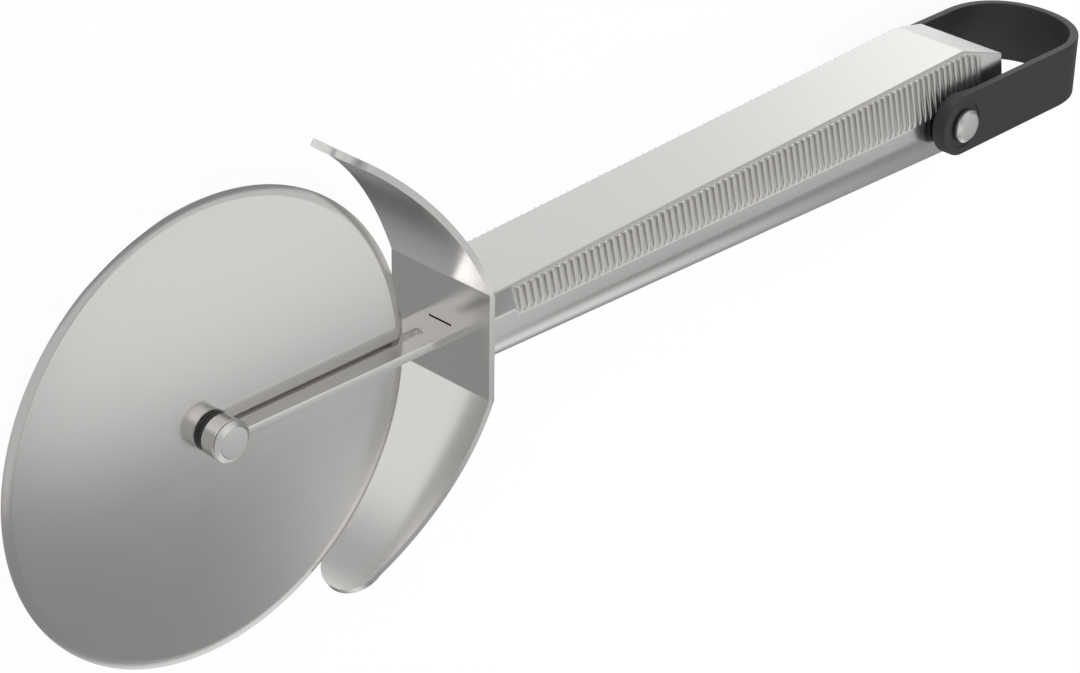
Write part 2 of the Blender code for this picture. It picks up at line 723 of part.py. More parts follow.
def bend_points(half_width, depth, direction):
    """Points (h, a) of the loop's bend, a rounded square turn from one arm to the other."""
    points = []
    for i in range(LOOP_BEND_STEPS + 1):
        angle = math.pi * i / LOOP_BEND_STEPS
        across = math.copysign(abs(math.cos(angle)) ** (2 / LOOP_BEND_POWER), math.cos(angle))
        forward = max(0, math.sin(angle)) ** (2 / LOOP_BEND_POWER)
        points.append((LOOP_STRAIGHT_LENGTH + depth * forward, half_width * across))
    return points[::direction]


def make_loop(shop):
    """U-shaped band with a thick round lug at each end."""
    start = -LOOP_HALF_WIDTH - CUT_OVERRUN
    step = LOOP_HALF_WIDTH
    thin = step + LOOP_STEP_SLOPE
    outer = [(start, LUG_OUTER_FACE)] + bend_points(LUG_OUTER_FACE, LOOP_BEND_DEPTH, 1)
    outer += [(start, -LUG_OUTER_FACE)]
    near = [(thin, LOOP_INNER_HALF), (step, LUG_INNER_FACE), (start, LUG_INNER_FACE)]
    far = [(h, -a) for h, a in reversed(near)]
    inner = bend_points(LOOP_INNER_HALF, LOOP_BEND_DEPTH - LOOP_THICKNESS, -1)
    half = LOOP_HALF_WIDTH + CUT_OVERRUN
    outline = [Vector((h, -half, a)) for h, a in outer + far + inner + near]
    mesh = prism_mesh("hanging_loop", outline, Vector((0, 2 * half, 0)))
    loop = shop.part("hanging_loop", mesh, plastic("loop_black", BLACK_PLASTIC), shop.loop_pin)

    across = LUG_OUTER_FACE + CUT_OVERRUN
    side = []
    for i in range(LOOP_LUG_STEPS + 1):
        angle = math.pi / 2 + math.pi * i / LOOP_LUG_STEPS
        side.append(Vector((LOOP_HALF_WIDTH * math.cos(angle), LOOP_HALF_WIDTH * math.sin(angle), -across)))
    far_end = LOOP_REACH + CUT_OVERRUN
    side += [Vector((far_end, -LOOP_HALF_WIDTH, -across)), Vector((far_end, LOOP_HALF_WIDTH, -across))]
    trim = prism_mesh("loop_side", side, Vector((0, 0, 2 * across)))
    boolean(loop, shop.cutter("loop_side", trim, shop.loop_pin), "INTERSECT")
    hole = cylinder_mesh("loop_pin_hole", PIN_BARREL_RADIUS + RUNNING_GAP, 2 * across, [Vector()])
    boolean(loop, shop.cutter("loop_pin_hole", hole, shop.loop_pin), "DIFFERENCE")


def make_washers(shop):
    """Thin black washers between the handle's sides and the loop's lugs."""
    low = HANDLE_HALF_WIDTH + SEAT_GAP
    high = low + WASHER_THICKNESS
    bore = PIN_BARREL_RADIUS + SEAT_GAP
    profile = [(bore, high), (WASHER_RADIUS, high), (WASHER_RADIUS, low), (bore, low)]
    material = plastic("washer_black", BLACK_PLASTIC)
    mesh = turned("loop_washer", profile)
    shop.part("loop_washer_near", mesh, material, shop.loop_pin)
    far = shop.part("loop_washer_far", mesh.copy(), material, shop.loop_pin)
    far.rotation_euler.x = math.pi


def make_loop_pin(shop):
    """Two-part pin across the handle and both lugs."""
    names = ("loop_pin", "loop_pin_barrel")
    head = (PIN_HEAD_RADIUS, PIN_FACE_RADIUS, PIN_HEAD_THICKNESS, PIN_CHAMFER_THICKNESS)
    meshes = two_part_rivet(
        names, PIN_HEAD_SEAT, head, PIN_BARREL_RADIUS, PIN_CORE_RADIUS, PIN_BORE_DEPTH,
    )
    for name, mesh in zip(names, meshes):
        shop.part(name, mesh, steel(name + "_steel", BRIGHT_STEEL, 0.22), shop.loop_pin)


def make_pin_sleeve(shop):
    """Spacer tube round the pin, which keeps the shell's walls apart when the pin is set."""
    end = HANDLE_HALF_WIDTH - HANDLE_WALL - SLEEVE_END_CLEARANCE
    bore = PIN_BARREL_RADIUS + SEAT_GAP
    outside = bore + SLEEVE_WALL
    profile = [(bore, end), (outside, end), (outside, -end), (bore, -end)]
    mesh = turned("pin_sleeve", profile)
    shop.part("pin_sleeve", mesh, steel("sleeve_steel", HIDDEN_STEEL, 0.5), shop.loop_pin)


def main():
    """Build every piece of the pizza cutter."""
    clear_scene()
    shop = Workshop()
    make_wheel(shop)
    make_bushes(shop)
    make_axle(shop)
    make_fork(shop)
    make_guard(shop)
    make_handle_shell(shop)
    make_tang_block(shop)
    make_tang_pin(shop)
    make_end_cap(shop)
    make_loop(shop)
    make_washers(shop)
    make_loop_pin(shop)
    make_pin_sleeve(shop)


main()
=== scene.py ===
"""Looks of the pizza cutter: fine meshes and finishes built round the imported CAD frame."""

import json
import logging
import math
from dataclasses import dataclass
from enum import Enum
from typing import Any, Iterable, Optional, Sequence

import bmesh
import bpy
from mathutils import Matrix, Vector

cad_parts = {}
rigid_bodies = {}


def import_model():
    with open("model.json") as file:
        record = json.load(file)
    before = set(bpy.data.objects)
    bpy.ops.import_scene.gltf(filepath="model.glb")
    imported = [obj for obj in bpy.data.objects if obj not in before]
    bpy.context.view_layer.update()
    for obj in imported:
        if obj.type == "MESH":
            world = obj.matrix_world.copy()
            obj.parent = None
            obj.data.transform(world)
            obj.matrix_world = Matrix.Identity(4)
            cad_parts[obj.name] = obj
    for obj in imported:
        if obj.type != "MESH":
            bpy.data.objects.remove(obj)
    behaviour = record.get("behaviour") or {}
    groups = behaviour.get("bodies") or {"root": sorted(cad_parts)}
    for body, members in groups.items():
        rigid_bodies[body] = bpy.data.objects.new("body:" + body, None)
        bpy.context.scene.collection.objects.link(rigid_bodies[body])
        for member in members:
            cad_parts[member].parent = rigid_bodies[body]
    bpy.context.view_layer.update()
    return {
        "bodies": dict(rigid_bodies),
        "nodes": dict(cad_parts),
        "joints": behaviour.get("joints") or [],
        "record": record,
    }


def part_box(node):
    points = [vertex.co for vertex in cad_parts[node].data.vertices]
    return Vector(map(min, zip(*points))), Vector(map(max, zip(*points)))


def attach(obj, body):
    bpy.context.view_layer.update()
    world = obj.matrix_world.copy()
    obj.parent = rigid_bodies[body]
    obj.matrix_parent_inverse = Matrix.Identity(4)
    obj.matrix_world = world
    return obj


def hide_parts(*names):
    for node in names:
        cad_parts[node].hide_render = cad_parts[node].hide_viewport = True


LOG = logging.getLogger("pizza_cutter")
MM = 0.001
SHARP = 28.0
MERGE_DISTANCE = 0.001 * MM
Color = tuple[float, float, float, float]
Point2 = tuple[float, float]
BMesh = bmesh.types.BMesh
Material = bpy.types.Material
Piece = bpy.types.Object
Socket = bpy.types.NodeSocket
RIB_ENDS = ("Front", "Rear", "End")
RIB_POINTS = ("Head", "Knee", "Foot", "Down", "Normal")


class Brushing(Enum):
    """Which way the fine lines of a steel face run."""

    ALONG = "along the handle"
    ACROSS = "across the handle"
    ROUND = "round an axis"


class Operation(Enum):
    """How a tool shape changes a piece."""

    JOIN = "UNION"
    CUT = "DIFFERENCE"
    KEEP = "INTERSECT"


class Graph:
    """A short way to build a tree of nodes."""

    def __init__(self, tree: bpy.types.NodeTree) -> None:
        """Keep the tree.

        Args:
            tree: The tree that the nodes go into.
        """
        self.tree = tree

    def add(self, kind: str, inputs: Optional[dict[Any, Any]] = None, **settings: Any) -> bpy.types.Node:
        """Add a node.

        Args:
            kind: The node's type.
            inputs: Input sockets by name or number, with a value or the output that feeds each.
            settings: The node's own settings.

        Returns:
            The new node.
        """
        node = self.tree.nodes.new(kind)
        for name, value in settings.items():
            setattr(node, name, value)
        for name, value in (inputs or {}).items():
            if isinstance(value, Socket):
                self.tree.links.new(value, node.inputs[name])
            else:
                node.inputs[name].default_value = value
        return node

    def math(self, operation: str, *values: Any) -> Socket:
        """Add a Math node and return its output."""
        return self.add("ShaderNodeMath", dict(enumerate(values)), operation=operation).outputs[0]

    def vector(self, operation: str, *values: Any) -> Socket:
        """Add a Vector Math node and return its vector output."""
        return self.add("ShaderNodeVectorMath", dict(enumerate(values)), operation=operation).outputs[0]

    def times(self, first: Socket, *others: Any) -> Socket:
        """Multiply values.

        Args:
            first: The first value.
            others: What it is multiplied by.

        Returns:
            The output that holds the product.
        """
        for value in others:
            first = self.math("MULTIPLY", first, value)
        return first

    def noise(self, point: Socket, detail: float, scale: float = 1.0) -> Socket:
        """Add a Noise Texture node and return its value."""
        inputs = {"Vector": point, "Scale": scale, "Detail": detail}
        return self.add("ShaderNodeTexNoise", inputs).outputs["Fac"]

    def spread(
        self,
        value: Socket,
        ends: Point2,
        limits: Point2 = (0.0, 1.0),
        interpolation: str = "LINEAR",
    ) -> Socket:
        """Spread a value between two ends.

        Args:
            value: The value.
            ends: What it becomes at its two limits.
            limits: Its two limits.
            interpolation: The way between them.

        Returns:
            The output that holds the result.
        """
        inputs = {"Value": value, "From Min": limits[0], "From Max": limits[1]}
        inputs.update({"To Min": ends[0], "To Max": ends[1]})
        return self.add("ShaderNodeMapRange", inputs, interpolation_type=interpolation).outputs["Result"]

    def tint(self, share: Socket, color: Color, spread: float) -> Socket:
        """A colour that goes a little darker and lighter.

        Args:
            share: Where the colour stands between dark and light.
            color: The middle colour.
            spread: How far it goes either way, as a share of itself.

        Returns:
            The output that holds the colour.
        """
        dark = [channel * (1 - spread) for channel in color[:3]] + [1.0]
        light = [min(1.0, channel * (1 + spread)) for channel in color[:3]] + [1.0]
        inputs = {"Factor": share, "A": dark, "B": light}
        return self.add("ShaderNodeMix", inputs, data_type="RGBA").outputs["Result"]

    def finish(
        self, tint: Socket, roughness: Socket, relief: dict[str, Any], fixed: dict[str, float],
    ) -> None:
        """Feed the shader of a new material.

        Args:
            tint: The output that holds the colour.
            roughness: The output that holds the roughness.
            relief: The inputs of the Bump node.
            fixed: Constants for the shader's own sockets.
        """
        shader = self.tree.nodes["Principled BSDF"]
        for name, value in fixed.items():
            shader.inputs[name].default_value = value
        normal = self.add("ShaderNodeBump", relief).outputs["Normal"]
        for name, source in (("Base Color", tint), ("Roughness", roughness), ("Normal", normal)):
            self.tree.links.new(source, shader.inputs[name])


def object_point(graph: Graph, centre: Vector, scale: Sequence[float]) -> Socket:
    """Object coordinates, measured from a centre and scaled.

    Args:
        graph: The material's graph.
        centre: The point of the row frame that becomes zero.
        scale: The scale along each axis.

    Returns:
        The output that holds the point.
    """
    place = graph.add("ShaderNodeTexCoord").outputs["Object"]
    moved = graph.vector("SUBTRACT", place, centre)
    return graph.vector("MULTIPLY", moved, scale)


def new_material(name: str) -> tuple[Material, Graph]:
    """A new material and the graph of its nodes.

    Args:
        name: The material's name.

    Returns:
        The material and its graph.
    """
    made = bpy.data.materials.new(name)
    made.use_nodes = True
    return made, Graph(made.node_tree)


def cube(size: float) -> tuple[float, float, float]:
    """The scale that gives a texture one feature in a cube of a size."""
    return (1 / size,) * 3


@dataclass(frozen=True)
class BrushedSteel:
    """Stainless steel with fine lines, faint clouds and a soft gloss."""

    name: str
    color: Color
    roughness: float = 0.30
    brushing: Brushing = Brushing.ALONG
    centre: Vector = Vector()
    line_depth: float = 0.012
    lines_per_mm: float = 3.2
    line_length_mm: float = 18.0
    line_turn_scale: float = 1.2
    line_share: float = 0.65
    line_relief_mm: float = 0.05
    cloud_mm: float = 22.0
    wear_limits: Point2 = (0.3, 0.7)
    tint_share: float = 0.025
    roughness_spread: float = 0.03

    def line_point(self, graph: Graph) -> Socket:
        """A point that varies fast across the lines and slowly along them.

        Args:
            graph: The material's graph.

        Returns:
            The output that holds the point.
        """
        fine = self.lines_per_mm / MM
        slow = 1 / (self.line_length_mm * MM)
        if self.brushing is Brushing.ALONG:
            return object_point(graph, self.centre, (slow, fine, fine))
        if self.brushing is Brushing.ACROSS:
            return object_point(graph, self.centre, (fine, slow, slow))
        flat = object_point(graph, self.centre, (1, 1, 0))
        radius = graph.add("ShaderNodeVectorMath", {0: flat}, operation="LENGTH").outputs["Value"]
        parts = graph.add("ShaderNodeSeparateXYZ", {0: flat}).outputs
        around = graph.times(graph.math("ARCTAN2", parts["Y"], parts["X"]), self.line_turn_scale)
        return graph.add("ShaderNodeCombineXYZ", {0: graph.times(radius, fine), 1: around}).outputs[0]

    def material(self) -> Material:
        """Build the finish.

        Returns:
            The material.
        """
        made, graph = new_material(self.name)
        lines = graph.noise(self.line_point(graph), 3.0)
        clouds = graph.noise(object_point(graph, self.centre, cube(self.cloud_mm * MM)), 2.0)
        fine_wear = graph.times(lines, self.line_share)
        wear = graph.math("MULTIPLY_ADD", clouds, 1 - self.line_share, fine_wear)
        half = self.roughness_spread / 2
        rough = graph.spread(wear, (self.roughness - half, self.roughness + half), self.wear_limits)
        relief = {"Strength": self.line_depth, "Distance": self.line_relief_mm * MM, "Height": lines}
        graph.finish(graph.tint(wear, self.color, self.tint_share), rough, relief, {"Metallic": 1.0})
        return made


@dataclass(frozen=True)
class MouldedPlastic:
    """Matt black plastic with a fine eroded grain."""

    name: str
    color: Color
    roughness: float = 0.5
    roughness_spread: float = 0.1
    grain_mm: float = 0.35
    grain_depth: float = 0.12
    grain_relief_mm: float = 0.03
    cloud_mm: float = 9.0
    tint_share: float = 0.15
    specular: float = 0.5

    def material(self) -> Material:
        """Build the finish.

        Returns:
            The material.
        """
        made, graph = new_material(self.name)
        grain = graph.noise(object_point(graph, Vector(), cube(self.grain_mm * MM)), 2.0)
        clouds = graph.noise(object_point(graph, Vector(), cube(self.cloud_mm * MM)), 3.0)
        half = self.roughness_spread / 2
        rough = graph.spread(clouds, (self.roughness - half, self.roughness + half))
        relief = {"Strength": self.grain_depth, "Distance": self.grain_relief_mm * MM, "Height": grain}
        fixed = {"Specular IOR Level": self.specular}
        graph.finish(graph.tint(clouds, self.color, self.tint_share), rough, relief, fixed)
        return made


def add_object(name: str, bm: BMesh) -> Piece:
    """Turn a bmesh, which is freed, into an object of the scene.

    Args:
        name: The object's name.
        bm: The shape.

    Returns:
        The object.
    """
    mesh = bpy.data.meshes.new(name)
    bm.to_mesh(mesh)
    bm.free()
    piece = bpy.data.objects.new(name, mesh)
    bpy.context.scene.collection.objects.link(piece)
    return piece


def new_piece(name: str, bm: BMesh, offset: Vector = Vector()) -> Piece:
    """Turn a bmesh into an object of the scene, with its place in its mesh.

    Args:
        name: The piece's name.
        bm: The shape, which is freed.
        offset: How far the shape is moved in the row frame.

    Returns:
        The object, shaded smooth between its sharp edges.
    """
    bmesh.ops.remove_doubles(bm, verts=bm.verts, dist=MERGE_DISTANCE)
    bmesh.ops.recalc_face_normals(bm, faces=bm.faces)
    bmesh.ops.translate(bm, verts=bm.verts, vec=offset)
    piece = add_object(name, bm)
    piece.data.shade_smooth()
    piece.data.set_sharp_from_angle(angle=math.radians(SHARP))
    return piece


def skin(bm: BMesh, rings: Sequence[Sequence[bmesh.types.BMVert]]) -> None:
    """Join rings of points, each with the next, by faces.

    Args:
        bm: The shape that the faces go into.
        rings: The rings, all with as many points.
    """
    for ring, following in zip(rings, rings[1:]):
        for i in range(len(ring)):
            j = (i + 1) % len(ring)
            bm.faces.new((ring[i], ring[j], following[j], following[i]))


def apply_modifiers(piece: Piece) -> None:
    """Give a piece its evaluated form as a plain mesh and drop its modifiers.

    Args:
        piece: The piece.
    """
    bpy.context.view_layer.update()
    graph = bpy.context.evaluated_depsgraph_get()
    mesh = bpy.data.meshes.new_from_object(piece.evaluated_get(graph))
    piece.modifiers.clear()
    old = piece.data
    piece.data = mesh
    mesh.name = piece.name
    bpy.data.meshes.remove(old)


def use_tool(piece: Piece, tool: Piece, operation: Operation) -> None:
    """Change a piece with a tool shape, then remove the tool.

    Args:
        piece: The piece.
        tool: The tool shape.
        operation: What the tool does.
    """
    modifier = piece.modifiers.new("Tool", "BOOLEAN")
    modifier.operation = operation.value
    modifier.solver = "EXACT"
    modifier.object = tool
    apply_modifiers(piece)
    bpy.data.objects.remove(tool, do_unlink=True)


def keep_flats_flat(piece: Piece, sharp: float = SHARP) -> None:
    """Shade a piece smooth between sharp edges, with the large faces deciding the shading.

    Args:
        piece: The piece.
        sharp: The angle, in degrees, past which an edge is sharp.
    """
    piece.data.shade_smooth()
    piece.data.set_sharp_from_angle(angle=math.radians(sharp))
    weighted = piece.modifiers.new("Flat faces", "WEIGHTED_NORMAL")
    weighted.keep_sharp = True
    apply_modifiers(piece)


def round_edges(piece: Piece, width: float, segments: int = 3, angle: float = 35.0) -> None:
    """Round a piece's sharp edges.

    Args:
        piece: The piece.
        width: The width of the rounding.
        segments: Its steps.
        angle: The least angle, in degrees, of an edge that is rounded.
    """
    bevel = piece.modifiers.new("Rounded edges", "BEVEL")
    bevel.width = width
    bevel.segments = segments
    bevel.limit_method = "ANGLE"
    bevel.angle_limit = math.radians(angle)
    bevel.miter_outer = "MITER_ARC"
    apply_modifiers(piece)


def arc(centre: Point2, radius: float, start: float, end: float, steps: int) -> list[Point2]:
    """Points along an arc.

    Args:
        centre: The arc's centre.
        radius: Its radius.
        start: The first angle, in degrees.
        end: The last angle, in degrees.
        steps: How many steps it has.

    Returns:
        The points, both ends included.
    """
    points = []
    for i in range(steps + 1):
        angle = math.radians(start + (end - start) * i / steps)
        points.append((centre[0] + radius * math.cos(angle), centre[1] + radius * math.sin(angle)))
    return points


def lathe(name: str, profile: Sequence[Point2], centre: Vector, steps: int) -> Piece:
    """Turn a profile about the Z axis through a centre.

    Args:
        name: The piece's name.
        profile: Points (radius, height). A profile that leaves the axis and doesn't come back closes on
            itself.
        centre: The point of the row frame that the profile is measured from.
        steps: How many steps go round.

    Returns:
        The turned piece.
    """
    bm = bmesh.new()
    rings = []
    for radius, height in profile:
        if radius <= 0:
            rings.append([bm.verts.new((0, 0, height))])
            continue
        ring = []
        for i in range(steps):
            angle = 2 * math.pi * i / steps
            ring.append(bm.verts.new((radius * math.cos(angle), radius * math.sin(angle), height)))
        rings.append(ring)
    pairs = list(zip(rings, rings[1:]))
    if len(rings[0]) > 1 and len(rings[-1]) > 1:
        pairs.append((rings[-1], rings[0]))
    for upper, lower in pairs:
        for i in range(steps):
            j = (i + 1) % steps
            places = ((upper, i), (upper, j), (lower, j), (lower, i))
            corners = [ring[k % len(ring)] for ring, k in places]
            bm.faces.new(list(dict.fromkeys(corners)))
    return new_piece(name, bm, centre)


def prism(name: str, outline: Iterable[Vector], extrusion: Vector, offset: Vector) -> Piece:
    """Give a flat outline a thickness.

    Args:
        name: The piece's name.
        outline: Its corners, all in one plane.
        extrusion: The thickness, as a vector.
        offset: How far the shape is moved in the row frame.

    Returns:
        The solid piece.
    """
    bm = bmesh.new()
    face = bm.faces.new([bm.verts.new(point) for point in outline])
    extruded = bmesh.ops.extrude_face_region(bm, geom=[face])["geom"]
    moved = [item for item in extruded if isinstance(item, bmesh.types.BMVert)]
    bmesh.ops.translate(bm, verts=moved, vec=extrusion)
    return new_piece(name, bm, offset)


def mix(first: Any, last: Any, share: float) -> Any:
    """A number or vector part of the way from first to last."""
    return first + (last - first) * share


def dress(
    piece: Piece,
    finish: Material,
    body: str,
    stands_for: Sequence[str] = (),
) -> None:
    """Give a finished piece its material, its body and the nodes that it stands for.

    Args:
        piece: The piece.
        finish: Its material.
        body: The CAD body that it rides on.
        stands_for: The CAD nodes that it replaces.
    """
    piece.data.materials.clear()
    piece.data.materials.append(finish)
    if stands_for:
        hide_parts(*stands_for)
    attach(piece, body)
    LOG.info("%s rides on %s, %d faces", piece.name, body, len(piece.data.polygons))


@dataclass(frozen=True)
class Places:
    """Points of the frame that the pieces are built round."""

    axle: Vector
    loop_pin: Vector

    @classmethod
    def of(cls, frame: dict[str, Any]) -> "Places":
        """Read the joints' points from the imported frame."""
        points = {joint["name"]: Vector(joint["pos_m"]) for joint in frame["joints"]}
        return cls(axle=points["wheel_spin"], loop_pin=points["loop_swing"])


@dataclass(frozen=True)
class TwoPartRivet:
    """A rivet of two halves: a head with a core, and a head with the barrel that takes the core."""

    centre: Vector
    head_radius: float
    face_radius: float
    chamfer: float
    seat: float
    barrel_radius: float = 1.9 * MM
    core_radius: float = 1.1 * MM
    clearance: float = 0.25 * MM
    soft: float = 0.08 * MM
    steps: int = 96

    def head(self, face: float) -> list[Point2]:
        """Profile of a head with a turned chamfer, from the axis out to its seat.

        Args:
            face: Height of the head's face over the centre.

        Returns:
            Points (radius, height).
        """
        soft = self.soft
        corner = face - self.chamfer
        return [
            (0, face),
            (self.face_radius - 4 * soft, face),
            (self.face_radius - soft, face - soft / 8),
            (self.face_radius, face - soft / 2),
            (self.face_radius + soft / 2, face - soft),
            (self.head_radius - soft / 2, corner + soft / 2),
            (self.head_radius, corner - soft),
            (self.head_radius, self.seat),
        ]

    def halves(self, names: tuple[str, str], face: float, end: float, barrel_end: float) -> list[Piece]:
        """Turn both halves, as long as their CAD nodes.

        Args:
            names: The names of the half with the core and of the half with the barrel.
            face: Height of the near head's face over the centre.
            end: Height of the core's far end.
            barrel_end: Height of the barrel's near end.

        Returns:
            The two halves.
        """
        head = self.head(face)
        core = head + [(self.core_radius, self.seat), (self.core_radius, end), (0, end)]
        bore, floor = self.core_radius + self.clearance, end - self.clearance
        barrel = [(0, floor), (bore, floor), (bore, barrel_end)]
        barrel += [(self.barrel_radius, barrel_end), (self.barrel_radius, -self.seat)]
        barrel += [(r, -z) for r, z in reversed(head)]
        return [lathe(name, form, self.centre, self.steps) for name, form in zip(names, (core, barrel))]


@dataclass
class WheelSet:
    """The cutting wheel, its bush and the rivet that it turns on."""

    places: Places
    bevel_width: float = 2.0 * MM
    bevel_soft: float = 0.04 * MM
    edge_thickness: float = 0.2 * MM
    flange_radius: float = 4.2 * MM
    bush_bore_radius: float = 2.1 * MM
    sleeve_radius: float = 3.0 * MM
    bore_radius: float = 3.2 * MM
    head_radius: float = 4.4 * MM
    face_radius: float = 3.4 * MM
    head_chamfer: float = 0.85 * MM
    head_seat: float = 5.35 * MM
    flange_inner: float = 0.52 * MM
    flange_soft: float = 0.15 * MM
    steps: int = 256
    small_steps: int = 96

    def blade(self) -> Piece:
        """The flat disc with its two ground bevels.

        Returns:
            The piece.
        """
        low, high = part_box("cutting_wheel")
        radius = (high.x - low.x) / 2
        half = (high.z - low.z) / 2
        rim = radius - self.bevel_width
        edge = self.edge_thickness / 2
        soft = self.bevel_soft
        fall = soft * (half - edge) / self.bevel_width
        side = [
            (self.bore_radius, half),
            (rim - 4 * soft, half),
            (rim - soft, half),
            (rim, half - soft / 6),
            (rim + soft, half - fall),
            (radius - soft, edge + fall),
            (radius, edge - soft / 2),
        ]
        profile = side + [(r, -z) for r, z in reversed(side)]
        return lathe("wheel_blade", profile, self.places.axle, self.steps)

    def bush(self, name: str, side: int) -> Piece:
        """One flanged half bush.

        Args:
            name: The piece's name.
            side: 1 for the upper half, -1 for the lower one.

        Returns:
            The piece.
        """
        low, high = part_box("wheel_bush_near")
        outer = high.z - self.places.axle.z
        inner = self.flange_inner
        start = low.z - self.places.axle.z
        soft = self.flange_soft
        profile = [(self.bush_bore_radius, outer)]
        profile += arc((self.flange_radius - soft, outer - soft), soft, 90, 0, 4)
        profile += arc((self.flange_radius - soft, inner + soft), soft, 0, -90, 4)
        sleeve, bore = self.sleeve_radius, self.bush_bore_radius
        profile += [(sleeve, inner), (sleeve, start), (bore, start)]
        return lathe(name, [(r, side * z) for r, z in profile], self.places.axle, self.small_steps)

    def rivet(self) -> list[Piece]:
        """The two halves of the axle rivet.

        Returns:
            The half with the core and the half with the barrel.
        """
        axle = self.places.axle
        low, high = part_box("axle_rivet")
        barrel_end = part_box("axle_rivet_barrel")[1].z - axle.z
        sizes = (self.head_radius, self.face_radius, self.head_chamfer, self.head_seat)
        names = ("axle_rivet_head", "axle_rivet_barrel_fine")
        return TwoPartRivet(axle, *sizes).halves(names, high.z - axle.z, low.z - axle.z, barrel_end)

    def build(self, finishes: "Finishes") -> None:
        """Build and dress the pieces.

        Args:
            finishes: Every material of the cutter.
        """
        dress(self.blade(), finishes.wheel, "wheel", ["cutting_wheel"])
        dress(self.bush("bush_upper", 1), finishes.bush, "wheel", ["wheel_bush_near"])
        dress(self.bush("bush_lower", -1), finishes.bush, "wheel", ["wheel_bush_far"])
        head, barrel = self.rivet()
        dress(head, finishes.rivet, "handle", ["axle_rivet"])
        dress(barrel, finishes.rivet, "handle", ["axle_rivet_barrel"])


@dataclass
class ForkSet:
    """The fork that carries the wheel."""

    places: Places
    thickness: float = 2.1 * MM
    eye_radius: float = 4.4 * MM
    eye_inner: float = 1.6 * MM
    eye_outer: float = 5.1 * MM
    eye_soft: float = 0.18 * MM
    eye_steps: int = 128
    bar_start: float = 2.9 * MM
    root_half: float = 5.7 * MM
    hole_radius: float = 2.15 * MM
    slot_half: float = 1.23 * MM
    slot_end: float = 55.0 * MM
    shoulder: float = 60.8 * MM
    relief: float = 5.0 * MM
    tang_half: float = 3.25 * MM
    tang_end: float = 82.6 * MM
    edge: float = 0.25 * MM

    def bar(self) -> Piece:
        """The slotted flat bar with its shoulders and tang.

        Returns:
            The piece.
        """
        half = [
            (self.slot_end, self.slot_half),
            (self.relief + self.eye_inner - self.slot_half, self.slot_half),
            (self.relief, self.eye_inner),
            (self.bar_start, self.eye_inner),
            (self.bar_start, self.eye_outer),
            (self.relief, self.eye_outer),
            (self.shoulder, self.root_half),
            (self.shoulder, self.tang_half),
            (self.tang_end, self.tang_half),
        ]
        low = -self.thickness / 2
        outline = [Vector((h, low, a)) for h, a in half] + [Vector((h, low, -a)) for h, a in reversed(half)]
        bar = prism("fork_bar", outline, Vector((0, self.thickness, 0)), self.places.axle)
        round_edges(bar, self.edge)
        keep_flats_flat(bar)
        return bar

    def eye(self, name: str, side: int) -> Piece:
        """One round eye of the fork.

        Args:
            name: The piece's name.
            side: 1 for the upper eye, -1 for the lower one.

        Returns:
            The piece.
        """
        soft = self.eye_soft
        radius, inner, outer = self.eye_radius, self.eye_inner, self.eye_outer
        profile = [(self.hole_radius, outer), (radius - 4 * soft, outer)]
        profile += arc((radius - soft, outer - soft), soft, 90, 0, 5)
        profile += [(radius, outer - 3 * soft), (radius, inner + 3 * soft)]
        profile += arc((radius - soft, inner + soft), soft, 0, -90, 5)
        profile += [(radius - 4 * soft, inner), (self.hole_radius, inner)]
        return lathe(name, [(r, side * z) for r, z in profile], self.places.axle, self.eye_steps)

    def build(self, finishes: "Finishes") -> None:
        """Build and dress the pieces.

        Args:
            finishes: Every material of the cutter.
        """
        dress(self.bar(), finishes.fork, "handle", ["fork"])
        dress(self.eye("fork_eye_upper", 1), finishes.eye, "handle")
        dress(self.eye("fork_eye_lower", -1), finishes.eye, "handle")


